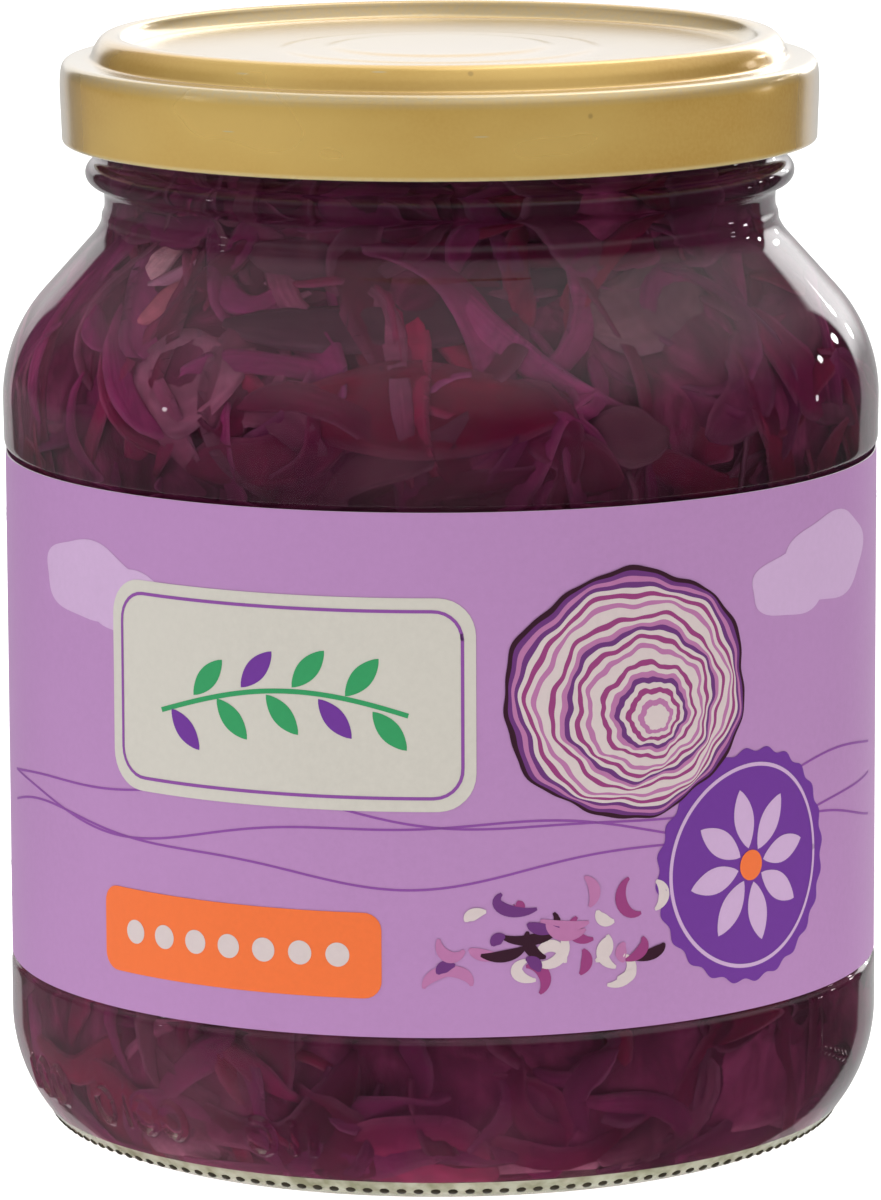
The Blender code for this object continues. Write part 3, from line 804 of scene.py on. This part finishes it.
def rounded_rows(outline):
    """The outline with its rows on the heel made closer, so that the mould marks have enough points."""
    low, high = 3.2 * MM, 11.5 * MM
    length = lengths_along(outline)
    heel = (outline[:, 1] > low) & (outline[:, 1] < high) & (outline[:, 0] > 36 * MM)
    extra = np.arange(length[heel].min(), length[heel].max(), 0.2 * MM)
    return points_at(outline, np.unique(np.round(np.concatenate([length, extra]), 7)))


def make_knurl():
    """The row of small raised dots round the foot: equal flattened balls, evenly spaced, half sunk in the
    glass. They face outwards and down as the heel does there, 0.72 out for 0.69 down."""
    count, around, rows = 150, 10, 7
    lean_out, lean_down = 0.72, 0.69
    thick, wide, tall = 0.16 * MM, 0.46 * MM, 0.38 * MM
    middle_r, middle_z = 36.85 * MM, 1.2 * MM
    angle = even_angles(count)[:, None, None]
    polar = np.linspace(0, np.pi, rows)[None, 1:-1, None]
    turn = even_angles(around)[None, None, :]
    out = thick * np.cos(polar) + 0 * turn
    side = wide * np.sin(polar) * np.cos(turn)
    up = tall * np.sin(polar) * np.sin(turn)
    r = middle_r + lean_out * out + lean_down * up
    z = middle_z - lean_down * out + lean_out * up
    grid = np.stack([r * np.cos(angle) - side * np.sin(angle), r * np.sin(angle) + side * np.cos(angle),
                     z + 0 * angle], axis=-1)
    grid = grid.reshape(count, -1, 3)
    tube = grid_faces(rows - 2, around, close_columns=True)
    each = np.arange(count)[:, None, None] * grid.shape[1]
    faces = (tube[None] + each).reshape(-1, 4).tolist()
    cap = np.arange(around)[None, :] + each[:, 0]
    faces += cap[:, ::-1].tolist() + (cap + (rows - 3) * around).tolist()
    return make_object("foot_dots", grid, faces, [dots_finish()], sharp=None)


# The lid

def lid_outside():
    """Outline of the lid's upper side from its centre to the curled foot of its skirt, with rounded corners."""
    low = SKIRT_RADIUS - 0.2 * MM
    top, foot = LID_BOX_HIGH.z, LID_BOX_LOW.z
    panel, step = top - 1.55 * MM, top - 2.25 * MM
    points = [
        (0, panel + 0.35 * MM), (9.5 * MM, panel + 0.35 * MM), (10.5 * MM, panel + 0.15 * MM),
        (14 * MM, panel + 0.15 * MM), (14.8 * MM, panel), (20 * MM, panel), (28.4 * MM, panel),
        (29.15 * MM, panel + 0.75 * MM), (29.45 * MM, top), (30.9 * MM, top), (31.75 * MM, top - 0.9 * MM),
        (32.25 * MM, step), (34.75 * MM, step - 0.05 * MM), (SKIRT_RADIUS, step - 1.6 * MM),
        (low, foot + 0.9 * MM), (low, foot), (low - 1.5 * MM, foot)]
    radii = np.array([0.5, 0.5, 0.5, 0.5, 1, 0.5, 0.4, 0.6, 0.9, 0.6, 0.3, 0.75, 1.6, 0.4, 0.7]) * MM
    return rounded(points, radii, 7)


def lid_inside():
    """Outline of the lid's underside from the curl back up to its centre."""
    low = SKIRT_RADIUS - 0.2 * MM
    top, foot = LID_BOX_HIGH.z, LID_BOX_LOW.z
    points = [
        (low - 1.5 * MM, foot), (low - 1.55 * MM, foot + 1.3 * MM), (low - 0.6 * MM, foot + 1.6 * MM),
        (SKIRT_RADIUS - 0.4 * MM, 97.9 * MM), (34.1 * MM, 99.1 * MM), (32.3 * MM, 99.3 * MM),
        (31.7 * MM, 99.9 * MM), (30.6 * MM, top - 0.45 * MM), (29.7 * MM, top - 0.5 * MM),
        (28.8 * MM, top - 1.95 * MM), (0, top - 1.95 * MM)]
    return rounded(points, [0.4 * MM] * 9, 4)[1:]


def make_lid():
    """The pressed sheet as one closed surface of revolution, its upper side and its underside."""
    outline = np.concatenate([lid_outside(), lid_inside()])
    return make_object("gold_lid", *revolved(outline, even_angles(256)), [lid_finish()], sharp=55)


# The label

LABEL_RADIUS = LABEL_BOX_HIGH.x - 0.1 * MM


def on_label(along, height, lift):
    """The place of label coordinates: the distance along the paper from the front's middle is an angle times
    the paper's radius, and the height is the height."""
    angle = FRONT + along / LABEL_RADIUS
    radius = LABEL_RADIUS + lift
    return np.stack([radius * np.cos(angle), radius * np.sin(angle), height + 0 * angle], axis=-1)


def make_label():
    """The paper: a strip one turn long that starts and ends at the back, where its last stretch lies over its
    first. Its section is a thin rectangle carried round the jar, and its cut edges have their own finish."""
    paper = sizes().paper
    low, high = LABEL_BOX_LOW.z, LABEL_BOX_HIGH.z
    lap = 9 * MM / LABEL_RADIUS
    turn = np.linspace(0, 2 * np.pi + lap, 384)
    lift = 0.17 * MM * np.clip((turn - (2 * np.pi - 0.2)) / 0.2, 0, 1)
    angle = np.pi / 2 + turn
    levels = 9
    up = np.linspace(low, high, levels)
    height = np.concatenate([up, up[::-1]])
    outer = np.repeat([1.0, 0.0], levels)
    radius = LABEL_RADIUS - paper + lift[:, None] + outer * paper
    points = np.stack([radius * np.cos(angle)[:, None], radius * np.sin(angle)[:, None],
                       np.broadcast_to(height, radius.shape)], axis=-1)
    rows, columns = radius.shape
    faces = grid_faces(rows, columns, close_columns=True)[:, ::-1]
    column = np.tile(np.arange(columns), rows - 1)
    slots = np.isin(column, (levels - 1, 2 * levels - 1)).astype(int)
    ends = [list(range(columns)), list(range((rows - 1) * columns, rows * columns))[::-1]]
    faces = faces.tolist() + ends
    slots = np.concatenate([slots, [1, 1]])
    inks = [ink_finish("lilac_paper", colours().paper), ink_finish("cut_paper", (0.72, 0.68, 0.72), 0.6)]
    return make_object("paper_label", points, faces, inks, slots, sharp=30)


LAYER = 0.022 * MM  # how far each layer of ink lies above the one below
THIN_LINE = 0.22 * MM

# The inks' colours, apart from those in the settings
INKS = {
    "pale_lilac": (0.60, 0.40, 0.64), "line": (0.27, 0.07, 0.36), "magenta": (0.32, 0.04, 0.20),
    "violet": (0.15, 0.03, 0.20), "maroon": (0.045, 0.008, 0.025), "cream": (0.66, 0.56, 0.56),
    "rose": (0.48, 0.17, 0.38)}


class Print:
    """The label's print: flat patches and ribbons of ink, each on its own thin layer over the paper."""

    def __init__(self):
        self.points, self.faces, self.slots, self.inks = [], [], [], []
        self.count = 0

    def add(self, points, faces, inks):
        """Adds faces. inks is one ink, or one for each face."""
        inks = inks if isinstance(inks, list) else [inks] * len(faces)
        for ink in inks:
            if ink not in self.inks:
                self.inks.append(ink)
        self.points.append(points.reshape(-1, 3))
        self.faces += [[i + self.count for i in face] for face in faces]
        self.slots += [self.inks.index(ink) for ink in inks]
        self.count += points.size // 3

    def rings(self, flat, layer, inks):
        """Closed outlines, each inside the next, as (ring, point, 2). inks has one ink for each ring's band."""
        middle = flat[0].mean(axis=0)
        lift = layer * LAYER
        points = on_label(flat[..., 0], flat[..., 1], lift)
        hub = on_label(middle[:1], middle[1], lift)
        rows, size = flat.shape[:2]
        column = np.arange(size)
        faces = np.stack([np.full(size, rows * size), column, (column + 1) % size], axis=1).tolist()
        faces += grid_faces(rows, size, close_columns=True)[:, ::-1].tolist()
        each = [ink for ink in inks for _ in range(size)]
        self.add(np.concatenate([points.reshape(-1, 3), hub]), faces, each)

    def patch(self, outline, layer, ink):
        """A filled outline: copies of it scaled about its middle, about a millimetre apart."""
        middle = outline.mean(axis=0)
        reach = np.linalg.norm(outline - middle, axis=1).max()
        count = max(2, math.ceil(reach / MM))
        t = np.linspace(1 / count, 1, count)[:, None, None]
        self.rings(middle + (outline[None] - middle) * t, layer, [ink] * count)

    def ribbon(self, path, width, layer, ink):
        """A line of ink: two edges, half a width to each side of the path along its normal."""
        way = np.gradient(path, axis=0)
        way /= np.linalg.norm(way, axis=1, keepdims=True)
        normal = np.stack([-way[:, 1], way[:, 0]], axis=1)
        half = (np.broadcast_to(width, len(path)) / 2)[:, None]
        flat = np.stack([path + normal * half, path - normal * half], axis=1)
        points = on_label(flat[..., 0], flat[..., 1], layer * LAYER)
        self.add(points, grid_faces(len(path), 2).tolist(), ink)

    def object(self, name):
        """One object of all that was added."""
        points = np.concatenate(self.points)
        return make_object(name, points, self.faces, self.inks, self.slots, sharp=None)


def blob(centre, size, ripple=(), count=96):
    """A closed outline round a centre: an ellipse whose radius is multiplied by one plus each ripple (height,
    how many round, phase)."""
    a = np.linspace(0, 2 * np.pi, count, endpoint=False)
    swell = 1 + sum((h * np.sin(n * a + p) for h, n, p in ripple), 0 * a)
    around = np.stack([size[0] * np.cos(a) * swell, size[1] * np.sin(a) * swell], axis=1)
    return (np.array(centre) + around) * MM


def box(centre, half, radius):
    """A closed rectangle with round corners, its points evenly spaced along it."""
    count = 160
    sides = [(half[0] - radius, half[1] - radius, 0), (radius - half[0], half[1] - radius, 90),
             (radius - half[0], radius - half[1], 180), (half[0] - radius, radius - half[1], 270)]
    line = np.concatenate([arc(x, y, radius, turn, turn + 90, 12) for x, y, turn in sides])
    line = np.concatenate([line, line[:1]])
    even = np.linspace(0, lengths_along(line)[-1], count, endpoint=False)
    return (points_at(line, even) + centre) * MM


def closed(outline):
    """A closed outline with its first points repeated at the end, for a ribbon all round."""
    return np.concatenate([outline, outline[:2]])


def leaf(centre, length, width, tilt):
    """A pointed leaf, turned by the tilt: its half width is a power of a sine along its length."""
    t = np.linspace(0, 1, 16)
    half = np.sin(np.pi * t) ** 0.8 * width / 2
    x = np.concatenate([t, t[::-1][1:-1]]) * length - length / 2
    y = np.concatenate([-half, half[::-1][1:-1]])
    cosine, sine = math.cos(tilt), math.sin(tilt)
    around = np.stack([x * cosine - y * sine, x * sine + y * cosine], axis=1)
    return (np.array(centre) + around) * MM


def wave(start, end, base, height, turns, count=160):
    """A wavy line from side to side: the base height plus two sines, one finer than the other."""
    t = np.linspace(0, 1, count)
    y = base + height * (np.sin(turns * t + base) + 0.35 * np.sin(2.3 * turns * t))
    return np.stack([start + (end - start) * t, y], axis=1) * MM


def make_print():
    """The label's design: a pale plaque with a sprig, an orange tab, a violet disc with a flower, a rosette of
    wavy rings with loose strokes, pale rounded hills and thin wavy lines. Sizes are in millimetres from the
    front's middle, first along the paper and then up from the ground."""
    own = colours()
    inks = {"plaque": own.plaque, "tab": own.tab, "disc": own.disc, "leaf": own.leaf, **INKS}
    ink = {name: ink_finish(name + "_ink", colour) for name, colour in inks.items()}
    sheet = Print()
    for x, y, w, h in ((-37, 55, 7, 3.6), (-31, 53.6, 5.5, 3), (43, 56, 8, 4), (36.5, 54.5, 6, 3)):
        sheet.patch(blob((x, y), (w, h), ((0.05, 5, 1),)), 1, ink["pale_lilac"])
    for base in (36.2, 34.2, 31.6):
        sheet.ribbon(wave(-54, 54, base, 1.5, 10), THIN_LINE, 1, ink["line"])
    sheet.patch(box((-15, 46.3), (18, 9.6), 3.4), 2, ink["plaque"])
    sheet.ribbon(closed(box((-15, 46.3), (16.8, 8.4), 2.6)), 0.3 * MM, 3, ink["line"])
    v = np.linspace(0, 1, 40)
    stem = np.stack([-27 + 24 * v, 44.4 + 2.8 * np.sin(2.8 * v)], axis=1)
    sheet.ribbon(stem * MM, 0.45 * MM, 3, ink["leaf"])
    for k, (x, y) in enumerate(stem[3:38:4]):
        side = 1 if k % 2 else -1
        sheet.patch(leaf((x + 0.8, y + side * 2.1), 4.6, 1.9, side * 0.85), 3, ink["leaf" if k % 3 else "disc"])
    sheet.patch(box((-20, 23.6), (14.5, 3.9), 1.6), 2, ink["tab"])
    for k in range(7):
        sheet.patch(blob((-30.5 + 3.5 * k, 23.6), (1.1, 1.1), count=32), 3, ink["cream"])
    disc = (30.5, 29.5)
    sheet.patch(blob(disc, (10.6, 10.6), ((0.02, 24, 0),), count=240), 2, ink["disc"])
    sheet.ribbon(closed(blob(disc, (9.2, 9.2), count=120)), 0.35 * MM, 3, ink["pale_lilac"])
    flower(sheet, disc, 4.4, 8, 0.2, (5.6, 2.4), ink["pale_lilac"])
    sheet.patch(blob(disc, (1.4, 1.4), count=32), 4, ink["tab"])
    rosette(sheet, ink)
    back_print(sheet, ink)
    return sheet.object("label_print")


def flower(sheet, centre, reach, petals, start, size, ink):
    """Petals round a centre, their middles at a distance from it, the first at the start angle."""
    for k in range(petals):
        a = k * 2 * math.pi / petals + start
        middle = (centre[0] + reach * math.cos(a), centre[1] + reach * math.sin(a))
        sheet.patch(leaf(middle, *size, a), 3, ink)


def rosette(sheet, ink):
    """A big round rosette and loose curved strokes. Ring k's radius is a share of the whole, multiplied by a
    ripple whose waves turn a little from each ring to the next, and its middle drifts to the side."""
    middle, radius, count = (17.5, 46.6), 12.2, 30
    k = np.arange(1, count + 1)[:, None]
    a = np.linspace(0, 2 * np.pi, 200, endpoint=False)[None, :]
    share = (k / count) ** 0.85
    ripple = 0.05 * np.sin(6 * a + 0.35 * k) + 0.03 * np.sin(11 * a - 0.3 * k)
    ripple = ripple + 0.012 * np.sin(23 * a + 0.5 * k)
    r = radius * share * (1 + ripple * (1.1 - 0.7 * share))
    drift = 2.6 * (1 - share)
    flat = np.stack([middle[0] + drift + r * np.cos(a), middle[1] - drift + 0.92 * r * np.sin(a)], axis=-1) * MM
    order = ("cream", "cream", "rose", "cream", "magenta", "cream", "violet", "rose", "cream", "magenta")
    inks = [ink[order[i % 10]] for i in range(count - 2)] + [ink["violet"], ink["maroon"]]
    sheet.rings(flat, 3, inks)
    draw = np.random.default_rng(5)
    for i in range(34):
        x, y = draw.uniform(0, 19), draw.uniform(20.5, 29)
        start = draw.uniform(0, 2 * np.pi)
        turn = start + draw.uniform(1.2, 3) * np.linspace(0, 1, 16)
        across, up = draw.uniform(1.2, 3), draw.uniform(0.8, 2)
        path = np.stack([x + across * np.cos(turn), y + up * np.sin(turn)], axis=1) * MM
        width = 1.1 * MM * np.sin(np.linspace(0.25, math.pi - 0.25, 16))
        colour = draw.choice(["magenta", "violet", "rose", "cream", "maroon", "violet"])
        sheet.ribbon(path, width, 2 + 0.05 * i, ink[colour])


def back_print(sheet, ink):
    """The back: two large panels and thin wavy lines, on either side of the lap."""
    for start in (-118, 60):
        for base in (58, 56.2, 23.5, 21.7):
            sheet.ribbon(wave(start, start + 58, base, 0.8, 9, 120), THIN_LINE, 1, ink["line"])
    sheet.patch(box((88, 40), (22, 13), 3.5), 2, ink["plaque"])
    sheet.patch(box((-90, 40), (20, 13), 3.5), 2, ink["pale_lilac"])
    flower(sheet, (-90, 40), 5, 6, 0.0, (7, 3), ink["disc"])


# The stage

FLOOR_LEVEL = -0.0002  # just under the jar, which stands on it

# Small lamps: bearing from the front in degrees (+ to the right), height and half width in degrees, brightness
LAMPS = (
    (-80.0, 11.0, 1.2, 9.0), (139.0, 12.5, 1.6, 12.0), (153.0, 11.5, 1.6, 12.0),
    (154.0, 4.8, 1.4, 12.0), (128.0, 12.0, 1.4, 10.0), (116.0, 1.4, 1.2, 8.0))


def make_world():
    """The studio as a function of direction: a bright backdrop behind the jar between two bearings, a soft
    ceiling that is brighter to the right, a dim room in front, and a few small lamps at the sides."""
    world = bpy.data.worlds.new("studio")
    bpy.context.scene.world = world
    world.use_nodes = True
    tree = world.node_tree
    way = node(tree, "ShaderNodeTexCoord").outputs["Generated"]
    x, y, z = (axes(tree, way)[name] for name in "XYZ")

    def soft(value, low, high, start=0.0, end=1.0):
        return faded(tree, value, low, high, start, end, "SMOOTHSTEP")

    def bearing(degrees):
        return math.sin(math.radians(degrees))

    level = maths(tree, "SQRT", maths(tree, "SUBTRACT", 1.0, product(tree, z, z)))
    across = maths(tree, "DIVIDE", x, maths(tree, "MAXIMUM", level, 0.001))
    left_edge = soft(across, bearing(-29), bearing(-26))
    right_edge = soft(across, bearing(34), bearing(37), 1.0, 0.0)
    behind = product(tree, soft(y, -0.02, 0.02), product(tree, left_edge, right_edge))
    raised = soft(z, -0.02, 0.12)
    backdrop = maths(tree, "ADD", 0.6, product(tree, raised, soft(across, 0.1, 0.5, 0.4, 2.2)))
    sides = product(tree, soft(z, -0.06, 0.0, 0.12, 0.04), soft(across, -0.2, -0.9))
    low = maths(tree, "ADD", soft(z, -0.06, 0.0, 0.07, 0.03), sides)
    ceiling = product(tree, soft(z, 0.2, 0.75), soft(across, -0.6, 0.9, 0.35, 0.7))
    room = maths(tree, "ADD", low, ceiling)
    light = maths(tree, "ADD", product(tree, behind, backdrop),
                  product(tree, maths(tree, "SUBTRACT", 1.0, behind), room))
    for turn, height, half, strength in LAMPS:
        a, e = math.radians(turn), math.radians(height)
        aim = (math.sin(a) * math.cos(e), -math.cos(a) * math.cos(e), math.sin(e))
        near = node(tree, "ShaderNodeVectorMath", {"operation": "DOT_PRODUCT"}, i0=way, i1=aim).outputs["Value"]
        edge = math.cos(math.radians(half))
        light = maths(tree, "ADD", light, soft(near, 1.3 * edge - 0.3, 0.7 * edge + 0.3, 0.0, strength))
    fill(tree, tree.nodes["Background"], Color=light, Strength=1.0)


def add_light(name, kind, power, colour=(1.0, 1.0, 1.0)):
    """A light that shows in no reflection, because the world alone decides what glass and lid mirror."""
    data = bpy.data.lights.new(name, kind)
    data.energy = power
    data.color = colour
    light = bpy.data.objects.new(name, data)
    bpy.context.scene.collection.objects.link(light)
    light.visible_glossy = False
    return light


def add_panel_light(name, place, aim, size, power, colour=(1.0, 1.0, 1.0)):
    """A square soft light at a place, facing a point."""
    light = add_light(name, "AREA", power, colour)
    light.data.shape = "SQUARE"
    light.data.size = size
    back = np.array(place) - np.array(aim)
    light.location = place
    light.rotation_euler = (math.acos(back[2] / np.linalg.norm(back)), 0, math.atan2(back[0], -back[1]))
    light.visible_transmission = False
    light.visible_camera = False


def add_sun(name, lean, strength):
    """An even, very soft light from overhead, leaning towards the front by some degrees."""
    sun = add_light(name, "SUN", strength)
    sun.data.angle = math.radians(110)
    sun.rotation_euler = (math.radians(lean), 0, 0)


def floor_finish():
    """Plain pale paper with painted light: a glow round the jar, most beneath it, that fills in its shadow."""
    material, tree, shader = start_material("pale_floor")
    grain = noise(tree, object_place(tree), 60, 3)
    reach = node(tree, "ShaderNodeVectorMath", {"operation": "LENGTH"}, i0=object_place(tree)).outputs["Value"]
    fill(tree, shader, Base_Color=ramp(tree, grain, [(0.3, 0.90), (0.7, 0.92)]), Roughness=0.9,
         Specular_IOR_Level=0.0, Emission_Color=(1.0, 1.0, 0.97, 1),
         Emission_Strength=faded(tree, reach, 33 * MM, 120 * MM, 1.0, 0.27))
    return material


PHOTO_HEIGHT = 1200  # the photo's height in pixels
FOCAL_PIXELS = 7645.9  # the camera's focal length in the photo's pixels
CAMERA_PLACE = (-0.0001, -0.7036, 0.1715)
LOOKS_DOWN, LEANS = 9.902, 0.25  # in degrees
LOOKS_RIGHT = 0.00074  # in radians


def add_camera():
    """The camera at the photo's angle and distance."""
    camera = bpy.data.cameras.new("camera")
    camera.sensor_width = 36
    camera.lens = camera.sensor_width * FOCAL_PIXELS / PHOTO_HEIGHT
    holder = bpy.data.objects.new("camera", camera)
    bpy.context.scene.collection.objects.link(holder)
    holder.location = CAMERA_PLACE
    holder.rotation_euler = (math.radians(90 - LOOKS_DOWN), math.radians(LEANS), -LOOKS_RIGHT)
    bpy.context.scene.camera = holder


class JAR_OT_stage(bpy.types.Operator):
    """Makes the floor, the soft lights and the camera"""
    bl_idname = "jar.stage"
    bl_label = "Stage"

    def execute(self, context):
        scene = context.scene
        make_world()
        corners = np.array([(x, y, FLOOR_LEVEL) for x, y in ((-3, -1.2), (3, -1.2), (3, 6), (-3, 6))])
        floor = make_object("floor", corners, [(0, 1, 2, 3)], [floor_finish()], sharp=None)
        floor.visible_glossy = False
        add_sun("overhead_light", lean=30, strength=0.36)
        add_panel_light("sweep_light", (0, 1.2, 1.4), aim=(0, 1.2, 0), size=1.6, power=22)
        add_panel_light("front_left_light", (-1.0, -0.65, 0.75), aim=(0, 0, 0.05), size=0.6, power=4.2)
        add_panel_light("front_right_light", (0.9, -0.7, 0.6), aim=(0, 0, 0.09), size=0.5, power=1.3,
                        colour=(1.0, 0.90, 0.76))
        add_camera()
        scene.view_settings.view_transform = "Standard"
        scene.cycles.use_denoising = True
        scene.cycles.caustics_reflective = False
        scene.cycles.caustics_refractive = False
        scene.cycles.max_bounces = 9
        scene.cycles.diffuse_bounces = 2
        scene.cycles.transmission_bounces = 9
        scene.cycles.transparent_max_bounces = 24
        return {"FINISHED"}


class JAR_OT_glass(bpy.types.Operator):
    """Makes the glass and the dots that it stands on"""
    bl_idname = "jar.glass"
    bl_label = "Glass"

    def execute(self, context):
        glass, dots = make_glass(), make_knurl()
        for piece in (glass, dots):
            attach(piece, "root")
        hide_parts("glass_jar")
        return {"FINISHED"}


class JAR_OT_lid(bpy.types.Operator):
    """Makes the pressed lid"""
    bl_idname = "jar.lid"
    bl_label = "Lid"

    def execute(self, context):
        lid = make_lid()
        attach(lid, "root")
        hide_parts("lid")
        return {"FINISHED"}


class JAR_OT_label(bpy.types.Operator):
    """Makes the paper label and its print"""
    bl_idname = "jar.label"
    bl_label = "Label"

    def execute(self, context):
        label, ink = make_label(), make_print()
        for piece in (label, ink):
            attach(piece, "root")
        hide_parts("label")
        return {"FINISHED"}


class JAR_OT_contents(bpy.types.Operator):
    """Makes the shreds, the leaf pieces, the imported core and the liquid"""
    bl_idname = "jar.contents"
    bl_label = "Contents"

    def execute(self, context):
        shreds, leaves, core, liquid = make_shreds(), make_leaves(), make_core(), make_liquid()
        for piece in (shreds, leaves, core, liquid):
            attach(piece, "root")
        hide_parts("cabbage")
        return {"FINISHED"}


OPERATORS = (JAR_OT_stage, JAR_OT_glass, JAR_OT_lid, JAR_OT_label, JAR_OT_contents)


class JAR_PT_panel(bpy.types.Panel):
    """Lists the settings and the operators"""
    bl_label = "Jar of red cabbage"
    bl_idname = "JAR_PT_panel"
    bl_space_type = "VIEW_3D"
    bl_region_type = "UI"
    bl_category = "Jar"

    def draw(self, context):
        for group in (context.scene.jar_sizes, context.scene.jar_colours):
            for key in group.__annotations__:
                self.layout.prop(group, key)
        for operator in OPERATORS:
            self.layout.operator(operator.bl_idname)


CLASSES = (JarSizes, JarColours, *OPERATORS, JAR_PT_panel)


def register():
    """Adds the classes and settings to Blender."""
    for item in CLASSES:
        bpy.utils.register_class(item)
    bpy.types.Scene.jar_sizes = bpy.props.PointerProperty(type=JarSizes)
    bpy.types.Scene.jar_colours = bpy.props.PointerProperty(type=JarColours)


def unregister():
    """Takes the classes and settings out again."""
    del bpy.types.Scene.jar_colours
    del bpy.types.Scene.jar_sizes
    for item in reversed(CLASSES):
        bpy.utils.unregister_class(item)


def main():
    """Makes the stage and all pieces."""
    register()
    bpy.ops.jar.stage()
    bpy.ops.jar.glass()
    bpy.ops.jar.lid()
    bpy.ops.jar.label()
    bpy.ops.jar.contents()


if __name__ == "__main__":
    main()
